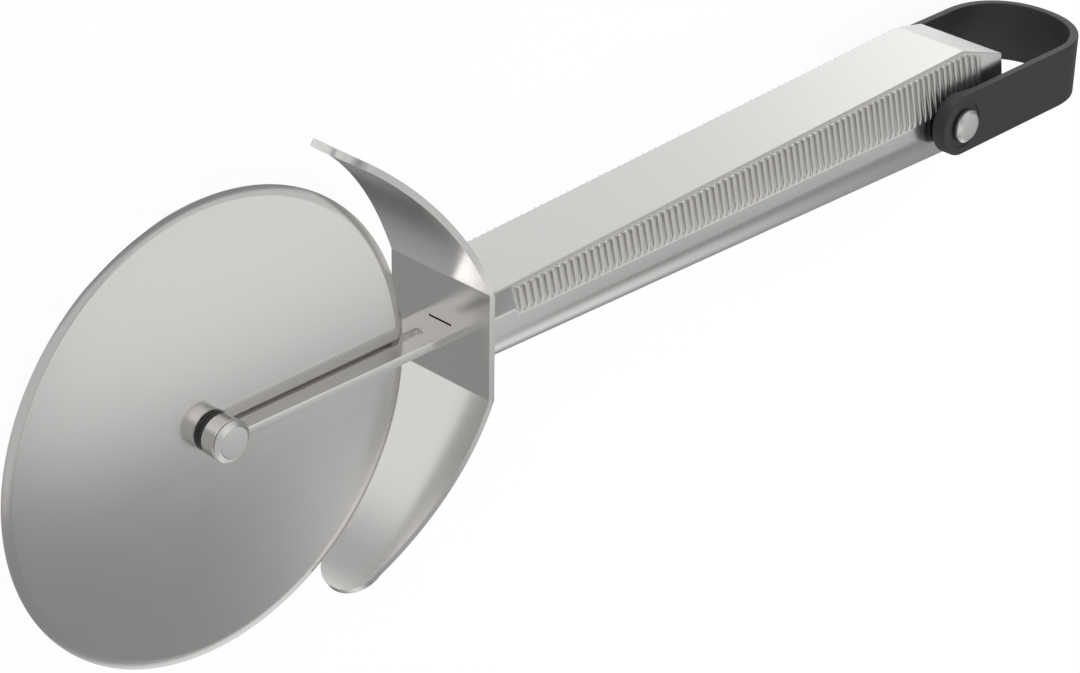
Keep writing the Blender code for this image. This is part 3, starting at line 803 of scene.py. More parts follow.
@dataclass
class FingerGuard:
    """One bent sheet: a flat plate with two tapering wings."""

    places: Places
    face: float = 60.6 * MM
    thickness: float = 1.5 * MM
    half_width: float = 14.36 * MM
    plate_half_height: float = 11.96 * MM
    fold_radius: float = 1.2 * MM
    fold_angle: float = math.radians(21.5)
    wing_length: float = 49.9 * MM
    bend_radius: float = 77.0 * MM
    tip_radius: float = 7.4 * MM
    taper_power: float = 1.48
    least_half: float = 0.01 * MM
    slot_half: float = 3.3 * MM
    slot_low: float = -1.3 * MM
    slot_high: float = 1.28 * MM
    edge: float = 0.3 * MM
    wing_steps: int = 60
    tip_steps: int = 16
    fold_steps: int = 6

    def half_width_at(self, distance: float) -> float:
        """Half width of the sheet at a distance along a wing.

        Args:
            distance: The distance from the fold.

        Returns:
            The half width.
        """
        taper = self.wing_length - self.tip_radius
        if distance > taper:
            return math.sqrt(max(0.0, self.tip_radius ** 2 - (distance - taper) ** 2))
        return mix(self.half_width, self.tip_radius, (distance / taper) ** self.taper_power)

    def direction(self, distance: float) -> float:
        """Angle of the sheet from the plate at a distance along a wing.

        Args:
            distance: The distance from the fold.

        Returns:
            The angle in radians.
        """
        fold = self.fold_radius * self.fold_angle
        if distance < fold:
            return self.fold_angle * distance / fold
        return self.fold_angle + (distance - fold) / self.bend_radius

    def profile(self) -> list[tuple[float, float, float]]:
        """Points (h, v, half width) of the front face, from the plate's top to the wing's tip.

        Returns:
            The points, measured from the axle.
        """
        fold = self.fold_radius * self.fold_angle
        taper = self.wing_length - self.tip_radius
        stations = [fold * i / self.fold_steps for i in range(self.fold_steps)]
        stations += [mix(fold, taper, i / self.wing_steps) for i in range(self.wing_steps)]
        for i in range(self.tip_steps + 1):
            stations.append(taper + self.tip_radius * math.sin(math.pi / 2 * i / self.tip_steps))
        h, v = self.face, self.plate_half_height
        points = [(h, v, self.half_width)]
        for start, end in zip(stations, stations[1:]):
            angle = (self.direction(start) + self.direction(end)) / 2
            h -= (end - start) * math.sin(angle)
            v += (end - start) * math.cos(angle)
            points.append((h, v, self.half_width_at(end)))
        return points

    def sheet(self) -> Piece:
        """The bent sheet with its slot and rounded edges.

        Returns:
            The piece.
        """
        upper = self.profile()
        plate = [(self.face, self.plate_half_height * share, self.half_width) for share in (-0.5, 0, 0.5)]
        lower = [(h, -v, half) for h, v, half in reversed(upper)]
        bm = bmesh.new()
        rows = []
        for h, v, half in lower + plate + upper:
            if half > self.least_half:
                rows.append([bm.verts.new((h, v, -half)), bm.verts.new((h, v, half))])
            else:
                rows.append([bm.verts.new((h, v, 0))])
        for row, following in zip(rows, rows[1:]):
            bm.faces.new(row + following[::-1])
        bmesh.ops.recalc_face_normals(bm, faces=bm.faces)
        bm.faces.ensure_lookup_table()
        middle = bm.faces[len(bm.faces) // 2]
        if middle.normal.x > 0:
            bmesh.ops.reverse_faces(bm, faces=bm.faces)
        bmesh.ops.translate(bm, verts=bm.verts, vec=self.places.axle)
        sheet = add_object("guard_sheet", bm)
        solid = sheet.modifiers.new("Sheet", "SOLIDIFY")
        solid.thickness = self.thickness
        solid.offset = -1
        solid.use_even_offset = True
        apply_modifiers(sheet)
        round_edges(sheet, self.edge, 3, 50)
        low = self.face - self.thickness
        corners = [(low, self.slot_low), (low, self.slot_high)]
        corners += [(self.face + 2 * self.thickness, v) for v in (self.slot_high, self.slot_low)]
        outline = [Vector((h, v, -self.slot_half)) for h, v in corners]
        window = prism("slot_tool", outline, Vector((0, 0, 2 * self.slot_half)), self.places.axle)
        use_tool(sheet, window, Operation.CUT)
        keep_flats_flat(sheet)
        return sheet

    def build(self, finishes: "Finishes") -> None:
        """Build and dress the sheet."""
        dress(self.sheet(), finishes.guard, "handle", ["finger_guard"])


@dataclass
class Handle:
    """The hollow ribbed handle and the plate that closes its end."""

    places: Places
    start: float = 62.35 * MM
    length: float = 170.95 * MM
    chamfer_length: float = 12.3 * MM
    wall: float = 1.2 * MM
    half_width_front: float = 11.6 * MM
    half_width_rear: float = 13.0 * MM
    front_height: float = 8.6 * MM
    rear_height: float = 14.9 * MM
    end_height: float = 11.4 * MM
    front_depth: float = 8.9 * MM
    rear_depth: float = 13.4 * MM
    top_half_front: float = 9.7 * MM
    top_half_rear: float = 9.8 * MM
    top_half_end: float = 12.1 * MM
    top_edge_radius: float = 0.3 * MM
    shoulder: float = 4.3 * MM
    ribbed_shoulder: float = 2.9 * MM
    side_low: float = 0.4 * MM
    bottom_flat_half: float = 1.2 * MM
    rib_pitch: float = 2.0 * MM
    rib_first: float = 10.6 * MM
    rib_count: int = 77
    rib_top_margin: float = 0.85 * MM
    rib_height: float = 0.70 * MM
    rib_depth: float = 0.9 * MM
    rib_half: float = 0.58 * MM
    rib_foot_half: float = 0.95 * MM
    rib_flank: float = 0.16 * MM
    blend: float = 1.2 * MM
    end_rounding: float = 0.3 * MM
    pin_hole_radius: float = 2.15 * MM
    tool_overrun: float = 2 * MM
    side_edge: float = 0.25 * MM
    top_edge_steps: int = 6
    bottom_steps: int = 28
    end_steps: int = 4
    shell_sharp: float = 12.0
    rib_head_steps: int = 5
    rib_flare: float = 0.10 * MM
    rib_sink: float = 0.02 * MM
    rib_foot_drop: float = 0.5 * MM
    rib_sharp: float = 50.0
    plate_gap: float = 0.25 * MM
    plate_edge: float = 0.15 * MM

    @property
    def chamfer_start(self) -> float:
        """Distance of the chamfer from the handle's front."""
        return self.length - self.chamfer_length

    def heights(self, place: float) -> Point2:
        """Height of the top and depth of the bottom at a distance from the front.

        Args:
            place: The distance from the handle's front.

        Returns:
            The height and the depth, both measured from the axle's level.
        """
        share = min(place, self.chamfer_start) / self.chamfer_start
        depth = mix(self.front_depth, self.rear_depth, share)
        if place <= self.chamfer_start:
            return mix(self.front_height, self.rear_height, share), depth
        share = (place - self.chamfer_start) / self.chamfer_length
        return mix(self.rear_height, self.end_height, share), depth

    def side_half(self, place: float) -> float:
        """Half width between the side faces at a distance from the front."""
        return mix(self.half_width_front, self.half_width_rear, place / self.length)

    def top_half(self, place: float) -> float:
        """Half width of the flat top at a distance from the front.

        Args:
            place: The distance from the handle's front.

        Returns:
            The half width.
        """
        if place <= self.chamfer_start:
            return mix(self.top_half_front, self.top_half_rear, place / self.chamfer_start)
        share = (place - self.chamfer_start) / self.chamfer_length
        return mix(self.top_half_rear, self.top_half_end, share)

    def shoulder_at(self, place: float) -> float:
        """Height where the sloped face meets the side, which is lower along the ribs.

        Args:
            place: The distance from the handle's front.

        Returns:
            The height.
        """
        first = self.rib_first - self.rib_pitch / 2
        last = self.rib_first + self.rib_pitch * (self.rib_count - 0.5)
        share = min(1.0, max(first - place, place - last, 0.0) / self.blend)
        return mix(self.ribbed_shoulder, self.shoulder, share)

    def slope(self, place: float, shoulder: float) -> tuple[Vector, Vector, Vector, Vector]:
        """The sloped face's upper and lower corner as (a, v), its direction down and its normal.

        Args:
            place: The distance from the handle's front.
            shoulder: Height of the lower corner.

        Returns:
            The two corners, the direction and the normal.
        """
        top = Vector((self.top_half(place), self.heights(place)[0]))
        low = Vector((self.side_half(place), shoulder))
        down = (low - top).normalized()
        return top, low, down, Vector((-down.y, down.x))

    @staticmethod
    def mitre(first: Vector, second: Vector, inset: float) -> Vector:
        """How far a corner moves when the faces beside it both move in by the inset."""
        return (first + second) * (-inset / (1 + first.dot(second)))

    @staticmethod
    def soft_corner(before: Vector, corner: Vector, after: Vector, steps: int) -> list[Vector]:
        """Points of a curve that rounds a corner between two points beside it.

        Args:
            before: The point where the curve starts.
            corner: The corner.
            after: The point where it ends.
            steps: How many steps it has.

        Returns:
            The points, both ends included.
        """
        points = []
        for i in range(steps + 1):
            share = i / steps
            rest = 1 - share
            points.append(before * rest ** 2 + corner * (2 * share * rest) + after * share ** 2)
        return points

    def plain_section(self, place: float, inset: float) -> list[Vector]:
        """Ring of points (h, v, a) round the handle, moved in by the inset.

        Args:
            place: The distance from the handle's front.
            inset: How far the ring lies inside the outer face.

        Returns:
            The ring's points.
        """
        top, low, down, normal = self.slope(place, self.shoulder_at(place))
        top = top + self.mitre(Vector((0, 1)), normal, inset)
        low = low + self.mitre(normal, Vector((1, 0)), inset)
        radius = self.top_edge_radius
        half = [top - Vector((radius * 1.3, 0))]
        half += self.soft_corner(top - Vector((radius, 0)), top, top + down * radius, self.top_edge_steps)
        half += [top + down * radius * 1.3]
        small = self.side_edge
        half += [low - down * small * 2]
        half += self.soft_corner(low - down * small, low, low - Vector((0, small)), 3)
        half += [low - Vector((0, small * 2))]
        depth = self.heights(place)[1] - inset
        for i in range(self.bottom_steps + 1):
            angle = math.pi / 2 * i / self.bottom_steps
            across = mix(self.bottom_flat_half, low.x, math.cos(angle))
            half.append(Vector((across, mix(-self.side_low, -depth, math.sin(angle)))))
        points = half + [Vector((-point.x, point.y)) for point in reversed(half)]
        return [Vector((self.start + place, point.y, point.x)) for point in points]

    def section(self, place: float, inset: float) -> list[Vector]:
        """Ring round the handle, straight between the chamfer's two ends.

        Args:
            place: The distance from the handle's front.
            inset: How far the ring lies inside the outer face.

        Returns:
            The ring's points.
        """
        if place <= self.chamfer_start:
            return self.plain_section(place, inset)
        first = self.plain_section(self.chamfer_start, inset)
        last = self.plain_section(self.length, inset)
        share = (place - self.chamfer_start) / self.chamfer_length
        return [mix(start, end, share) for start, end in zip(first, last)]

    def stations(self) -> list[Point2]:
        """Distances from the front with the inset of the outer face there, round at both ends.

        Returns:
            Pairs of a distance and an inset, from the front to the rear.
        """
        first = self.rib_first - self.rib_pitch / 2
        radius = self.end_rounding
        front = []
        rear = []
        for i in range(self.end_steps + 1):
            angle = math.pi / 2 * i / self.end_steps
            front.append((radius * (1 - math.cos(angle)), radius * (1 - math.sin(angle))))
            rear.append((self.length - radius * (1 - math.sin(angle)), radius * (1 - math.cos(angle))))
        middle = [(first - self.blend, 0.0)]
        middle += [(mix(first, self.chamfer_start, i / 12), 0.0) for i in range(13)]
        middle += [(mix(self.chamfer_start, self.length, i / 8), 0.0) for i in range(1, 8)]
        return front + middle + rear

    def shell(self) -> Piece:
        """The tapering tube, open at both ends.

        Returns:
            The piece.
        """
        stations = self.stations()
        outer = [self.section(place, inset) for place, inset in stations]
        inner = [self.section(place, self.wall) for place, _ in reversed(stations)]
        bm = bmesh.new()
        loops = [[bm.verts.new(point) for point in ring] for ring in outer + inner]
        skin(bm, loops + loops[:1])
        shell = new_piece("handle_skin", bm, self.places.axle)
        reach = self.half_width_rear + self.tool_overrun
        radius = self.pin_hole_radius
        profile = [(0, reach), (radius, reach), (radius, -reach), (0, -reach)]
        use_tool(shell, lathe("pin_hole_tool", profile, self.places.loop_pin, 64), Operation.CUT)
        keep_flats_flat(shell, self.shell_sharp)
        return shell

    def unit_rib(self) -> BMesh:
        """One rib in its own coordinates, which the tree of nodes bends on to the sloped face.

        X runs along the handle in metres. Y is the share of the way down from the rib's head to its knee,
        then 1 to 2 down to its foot, and below 0 the metres that its round head reaches up. Z is the
        height over the crest in metres.

        Returns:
            The shape.
        """
        flank, depth = self.rib_flank, self.rib_depth
        rows = []
        for i in range(self.rib_head_steps):
            angle = math.pi / 2 * (1 - i / self.rib_head_steps)
            rows.append((-self.rib_half * math.sin(angle), max(0.02, math.cos(angle)) * self.rib_half))
        for share in (0.0, 0.2, 0.45, 0.7, 0.9, 1.0):
            rows.append((share, self.rib_half))
        for share in (0.25, 0.5, 0.75, 1.0):
            rows.append((1 + share, mix(self.rib_half, self.rib_foot_half, share)))
        bm = bmesh.new()
        loops = []
        for along, half in rows:
            inner = max(0.3 * half, half - flank)
            ring = [
                (-half - self.rib_flare, -depth), (-half, -flank * 0.9),
                (-half + flank * 0.3, -flank * 0.3),
                (-inner, 0), (inner, 0), (half - flank * 0.3, -flank * 0.3), (half, -flank * 0.9),
                (half + self.rib_flare, -depth),
            ]
            loops.append([bm.verts.new((u, along, n)) for u, n in ring])
        skin(bm, loops)
        bm.faces.new(loops[0])
        bm.faces.new(loops[-1])
        bmesh.ops.recalc_face_normals(bm, faces=bm.faces)
        return bm

    def rib_frame(self, place: float, side: int) -> dict[str, Vector]:
        """Points and directions (h, v, a) that a rib is bent to at a distance from the front.

        Args:
            place: The distance from the handle's front.
            side: 1 for the upper row of ribs, -1 for the lower one.

        Returns:
            The head, knee and foot of the crest, its direction down and its normal, by name.
        """
        top, _, down, normal = self.slope(place, self.ribbed_shoulder)
        head = top + down * (self.rib_top_margin + self.rib_half) + normal * self.rib_height
        side_face = self.side_half(place) - self.rib_sink
        knee = Vector((side_face, self.shoulder))
        foot = Vector((side_face, self.ribbed_shoulder - self.rib_foot_drop))
        along = (knee - head).normalized()
        values = (head, knee, foot, along, Vector((-along.y, along.x)))
        return {name: Vector((0, value.y, side * value.x)) for name, value in zip(RIB_POINTS, values)}

    def rib_tree(self) -> bpy.types.NodeTree:
        """Tree that repeats a rib along the handle and bends each one on to the sloped face there.

        Returns:
            The tree.
        """
        tree = bpy.data.node_groups.new("Grip ribs", "GeometryNodeTree")
        kinds = {"Geometry": "Geometry", "Count": "Int", "Material": "Material"}
        kinds.update(dict.fromkeys(("Pitch", "First", "Taper Length", "Chamfer Length"), "Float"))
        vectors = [f"{end} {name}" for end in RIB_ENDS for name in RIB_POINTS]
        kinds.update(dict.fromkeys(vectors + ["Side Normal", "Origin"], "Vector"))
        for name, kind in kinds.items():
            tree.interface.new_socket(name, in_out="INPUT", socket_type=f"NodeSocket{kind}")
        tree.interface.new_socket("Geometry", in_out="OUTPUT", socket_type="NodeSocketGeometry")
        graph = Graph(tree)
        given = graph.add("NodeGroupInput").outputs

        def along_x(value: Socket) -> Socket:
            """A vector along the handle."""
            return graph.add("ShaderNodeCombineXYZ", {0: value}).outputs[0]

        places = {"Count": given["Count"], "Start Location": along_x(given["First"])}
        places["Offset"] = along_x(given["Pitch"])
        line = graph.add("GeometryNodeMeshLine", places, mode="OFFSET", count_mode="TOTAL")
        repeated = {"Points": line.outputs["Mesh"], "Instance": given["Geometry"]}
        copies = graph.add("GeometryNodeInstanceOnPoints", repeated)
        real = graph.add("GeometryNodeRealizeInstances", {"Geometry": copies.outputs["Instances"]})
        position = graph.add("GeometryNodeInputPosition").outputs[0]
        spot = graph.add("ShaderNodeSeparateXYZ", {0: position}).outputs
        taper_share = graph.math("DIVIDE", spot["X"], given["Taper Length"])
        past = graph.math("SUBTRACT", spot["X"], given["Taper Length"])
        chamfer_share = graph.math("DIVIDE", past, given["Chamfer Length"])

        def blend(share: Socket, low: Socket, high: Socket) -> Any:
            """A vector between two others, by a share that is kept from 0 to 1.

            Args:
                share: The share.
                low: The vector at 0.
                high: The vector at 1.

            Returns:
                The output that holds the vector.
            """
            node = graph.add("ShaderNodeMix", data_type="VECTOR")
            for socket, source in ((0, share), (4, low), (5, high)):
                tree.links.new(source, node.inputs[socket])
            return node.outputs[1]

        def between(name: str) -> Socket:
            """A point or direction along the taper, and past it along the chamfered end."""
            taper = blend(taper_share, given[f"Front {name}"], given[f"Rear {name}"])
            return blend(chamfer_share, taper, given[f"End {name}"])

        def scaled(vector: Socket, amount: Socket) -> Socket:
            """A vector times a number.

            Args:
                vector: The vector.
                amount: The number.

            Returns:
                The output that holds the product.
            """
            node = graph.add("ShaderNodeVectorMath", {0: vector}, operation="SCALE")
            tree.links.new(amount, node.inputs["Scale"])
            return node.outputs[0]

        head, knee, foot = between("Head"), between("Knee"), between("Foot")
        up = graph.math("MINIMUM", spot["Y"], 0.0)
        upper = graph.math("MINIMUM", graph.math("MAXIMUM", spot["Y"], 0.0), 1.0)
        lower = graph.math("MAXIMUM", graph.math("SUBTRACT", spot["Y"], 1.0), 0.0)
        turn = graph.math("MINIMUM", graph.math("MULTIPLY", lower, 4.0), 1.0)
        normal = blend(turn, between("Normal"), given["Side Normal"])
        total = head
        for part in (
            scaled(between("Down"), up),
            scaled(graph.vector("SUBTRACT", knee, head), upper),
            scaled(graph.vector("SUBTRACT", foot, knee), lower),
            scaled(normal, spot["Z"]),
            along_x(spot["X"]),
            given["Origin"],
        ):
            total = graph.vector("ADD", total, part)
        bent = graph.add("GeometryNodeSetPosition", {"Geometry": real.outputs[0], "Position": total})
        covered = {"Geometry": bent.outputs[0], "Material": given["Material"]}
        dressed = graph.add("GeometryNodeSetMaterial", covered)
        graph.add("NodeGroupOutput", {0: dressed.outputs[0]})
        return tree

    def ribs(self, name: str, side: int, tree: bpy.types.NodeTree, finish: Material) -> Piece:
        """One row of ribs.

        Args:
            name: The piece's name.
            side: 1 for the upper row, -1 for the lower one.
            tree: The tree that repeats the rib.
            finish: The ribs' material.

        Returns:
            The row as a plain mesh.
        """
        row = add_object(name, self.unit_rib())
        modifier = row.modifiers.new("Grip ribs", "NODES")
        modifier.node_group = tree
        values: dict[str, Any] = {
            "Count": self.rib_count,
            "Pitch": self.rib_pitch,
            "First": self.rib_first,
            "Taper Length": self.chamfer_start,
            "Chamfer Length": self.chamfer_length,
            "Side Normal": Vector((0, 0, side)),
            "Origin": self.places.axle + Vector((self.start, 0, 0)),
            "Material": finish,
        }
        for end, place in zip(RIB_ENDS, (0.0, self.chamfer_start, self.length)):
            for key, value in self.rib_frame(place, side).items():
                values[f"{end} {key}"] = value
        for item in tree.interface.items_tree:
            if item.in_out == "INPUT" and item.name in values:
                modifier[item.identifier] = values[item.name]
        apply_modifiers(row)
        fixed = bmesh.new()
        fixed.from_mesh(row.data)
        bmesh.ops.recalc_face_normals(fixed, faces=fixed.faces)
        fixed.to_mesh(row.data)
        fixed.free()
        row.data.shade_smooth()
        row.data.set_sharp_from_angle(angle=math.radians(self.rib_sharp))
        return row

    def end_plate(self) -> Piece:
        """Plate that closes the rear of the shell.

        Returns:
            The piece.
        """
        low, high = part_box("handle_end_cap")
        base = self.places.axle.x + self.start
        bm = bmesh.new()
        rings = [self.section(x - base, self.wall + self.plate_gap) for x in (low.x, high.x)]
        loops = [[bm.verts.new(point) for point in ring] for ring in rings]
        skin(bm, loops)
        bm.faces.new(loops[0])
        bm.faces.new(loops[1])
        plate = new_piece("end_plate", bm, self.places.axle)
        round_edges(plate, self.plate_edge, 2, 60)
        keep_flats_flat(plate)
        return plate

    def build(self, finishes: "Finishes") -> None:
        """Build and dress the pieces.

        Args:
            finishes: Every material of the cutter.
        """
        dress(self.shell(), finishes.handle, "handle", ["handle_shell"])
        tree = self.rib_tree()
        for name, side in (("grip_ribs_upper", 1), ("grip_ribs_lower", -1)):
            dress(self.ribs(name, side, tree, finishes.rib), finishes.rib, "handle")
        dress(self.end_plate(), finishes.handle, "handle", ["handle_end_cap"])


@dataclass
class HangingLoop:
    """The black loop, its pin and its washers."""

    places: Places
    half_height: float = 7.5 * MM
    thickness: float = 2.1 * MM
    lug_inner: float = 14.0 * MM
    lug_outer: float = 17.5 * MM
    thick_end: float = -3.0 * MM
    thin_start: float = 4.5 * MM
    straight: float = 37.9 * MM
    bend_depth: float = 17.2 * MM
    bend_power: float = 2.15
    recess_radius: float = 5.6 * MM
    recess_depth: float = 0.2 * MM
    hole_radius: float = 2.1 * MM
    edge: float = 0.35 * MM
    head_radius: float = 4.0 * MM
    face_radius: float = 3.3 * MM
    head_chamfer: float = 0.6 * MM
    seat: float = 17.75 * MM
    barrel_radius: float = 1.9 * MM
    washer_radius: float = 6.6 * MM
    washer_seat: float = 13.15 * MM
    washer_gap: float = 0.25 * MM
    washer_edge: float = 0.12 * MM
    tool_overrun: float = 2 * MM
    bend_steps: int = 72
    steps: int = 96

    def bend(self, half: float, depth: float) -> list[Point2]:
        """Points (h, a) of the loop's rounded square bend, from the upper arm to the lower one.

        Args:
            half: Half width of the bend.
            depth: How far it reaches past the straight arms.

        Returns:
            The points, measured from the pin.
        """
        points = []
        for i in range(self.bend_steps + 1):
            angle = math.pi * i / self.bend_steps
            across = math.copysign(abs(math.cos(angle)) ** (2 / self.bend_power), math.cos(angle))
            forward = max(0.0, math.sin(angle)) ** (2 / self.bend_power)
            points.append((self.straight + depth * forward, half * across))
        return points

    def cutter(self, radius: float, low: float, high: float) -> Piece:
        """A round cutting tool on the pin's axis, between two heights from the handle's middle."""
        profile = [(0, high), (radius, high), (radius, low), (0, low)]
        return lathe("hole_tool", profile, self.places.loop_pin, self.steps)

    def band(self) -> Piece:
        """The U-shaped band with its lugs, holes and rounded edges.

        Returns:
            The piece.
        """
        pin = self.places.loop_pin
        start = -self.half_height - self.tool_overrun
        inner_half = self.lug_outer - self.thickness
        outer = [(start, self.lug_outer)] + self.bend(self.lug_outer, self.bend_depth)
        outer += [(start, -self.lug_outer), (start, -self.lug_inner), (self.thick_end, -self.lug_inner)]
        outer.append((self.thin_start, -inner_half))
        inner = self.bend(inner_half, self.bend_depth - self.thickness)[::-1]
        inner += [(self.thin_start, inner_half), (self.thick_end, self.lug_inner), (start, self.lug_inner)]
        half = self.half_height + self.tool_overrun
        outline = [Vector((h, -half, a)) for h, a in outer + inner]
        band = prism("loop_band", outline, Vector((0, 2 * half, 0)), pin)
        across = self.lug_outer + self.tool_overrun
        side = arc((0, 0), self.half_height, 90, 270, 48)
        far = self.straight + self.bend_depth + self.tool_overrun
        side += [(far, -self.half_height), (far, self.half_height)]
        outline = [Vector((h, v, -across)) for h, v in side]
        trim = prism("trim_tool", outline, Vector((0, 0, 2 * across)), pin)
        use_tool(band, trim, Operation.KEEP)
        round_edges(band, self.edge, 3, 40)
        floor = self.lug_outer - self.recess_depth
        for low, high in ((floor, across), (-across, -floor)):
            use_tool(band, self.cutter(self.recess_radius, low, high), Operation.CUT)
        use_tool(band, self.cutter(self.hole_radius, -across, across), Operation.CUT)
        keep_flats_flat(band)
        return band

    def pin_pieces(self) -> list[Piece]:
        """The two halves of the pin.

        Returns:
            The half with the core and the half with the barrel.
        """
        pin = self.places.loop_pin
        low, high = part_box("loop_pin")
        barrel_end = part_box("loop_pin_barrel")[1].z - pin.z
        sizes = (self.head_radius, self.face_radius, self.head_chamfer, self.seat, self.barrel_radius)
        names = ("loop_pin_head", "loop_pin_barrel_fine")
        return TwoPartRivet(pin, *sizes).halves(names, high.z - pin.z, low.z - pin.z, barrel_end)

    def washer(self, name: str, node: str) -> Piece:
        """A black washer in the place of its CAD node, between the handle's side and the lug.

        Args:
            name: The piece's name.
            node: The CAD node that it replaces.

        Returns:
            The piece.
        """
        pin = self.places.loop_pin
        low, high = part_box(node)
        bottom, top = low.z - pin.z, high.z - pin.z
        if top > 0:
            bottom = self.washer_seat
        else:
            top = -self.washer_seat
        soft = self.washer_edge
        bore = self.barrel_radius + self.washer_gap
        profile = [(bore, top)] + arc((self.washer_radius - soft, top - soft), soft, 90, 0, 3)
        profile += arc((self.washer_radius - soft, bottom + soft), soft, 0, -90, 3) + [(bore, bottom)]
        return lathe(name, profile, pin, self.steps)

    def build(self, finishes: "Finishes") -> None:
        """Build and dress the pieces.

        Args:
            finishes: Every material of the cutter.
        """
        dress(self.band(), finishes.loop, "loop", ["hanging_loop"])
        head, barrel = self.pin_pieces()
        dress(head, finishes.pin, "handle", ["loop_pin"])
        dress(barrel, finishes.pin, "handle", ["loop_pin_barrel"])
        for name, node in (("washer_upper", "loop_washer_near"), ("washer_lower", "loop_washer_far")):
            dress(self.washer(name, node), finishes.washer, "handle", [node])


class Finishes:
    """Every material of the cutter."""

    def __init__(self, places: Places) -> None:
        """Build the materials.

        Args:
            places: The frame's points, which the turned finishes are centred on.
        """
        axle, pin = places.axle, places.loop_pin
        steel: Color = (0.69, 0.68, 0.665, 1.0)
        inner: Color = (0.45, 0.45, 0.46, 1.0)
        faint = 0.004

        def brushed(name: str, roughness: float, brushing: Brushing, **other: Any) -> Material:
            """A brushed finish in the cutter's steel, centred on the axle where nothing else is given."""
            settings = {"color": steel, "centre": axle, **other}
            return BrushedSteel(name, roughness=roughness, brushing=brushing, **settings).material()

        self.wheel = brushed("wheel steel", 0.20, Brushing.ALONG)
        self.fork = brushed("fork steel", 0.20, Brushing.ALONG)
        self.eye = brushed("eye steel", 0.20, Brushing.ROUND)
        self.guard = brushed("guard steel", 0.22, Brushing.ACROSS)
        self.handle = brushed("handle steel", 0.22, Brushing.ALONG, line_depth=faint)
        self.rib = brushed("rib steel", 0.33, Brushing.ACROSS, line_depth=faint)
        self.rivet = brushed("axle rivet steel", 0.30, Brushing.ROUND)
        self.pin = brushed("loop pin steel", 0.30, Brushing.ROUND, centre=pin)
        self.hidden = brushed("inner steel", 0.45, Brushing.ALONG, color=inner)
        self.loop = MouldedPlastic("loop plastic", (0.029, 0.029, 0.030, 1.0), 0.48).material()
        self.washer = MouldedPlastic("washer plastic", (0.02, 0.02, 0.02, 1.0), 0.55).material()
        self.bush = MouldedPlastic("bush plastic", (0.02, 0.02, 0.02, 1.0), 0.42).material()


@dataclass
class SoftBox:
    """One soft studio lamp, which the camera doesn't see."""

    name: str
    place: tuple[float, float, float]
    target: tuple[float, float, float]
    size: Point2
    radiance: float

    def build(self) -> None:
        """Make the lamp and turn it to its target."""
        lamp = bpy.data.lights.new(self.name, "AREA")
        lamp.shape = "RECTANGLE"
        lamp.size, lamp.size_y = self.size
        lamp.energy = self.radiance * math.pi * self.size[0] * self.size[1]
        holder = bpy.data.objects.new(self.name, lamp)
        holder.location = self.place
        aim = Vector(self.target) - Vector(self.place)
        holder.rotation_mode = "QUATERNION"
        if aim.xy.length > MM:
            holder.rotation_quaternion = aim.to_track_quat("-Z", "Y")
        holder.visible_camera = False
        bpy.context.scene.collection.objects.link(holder)


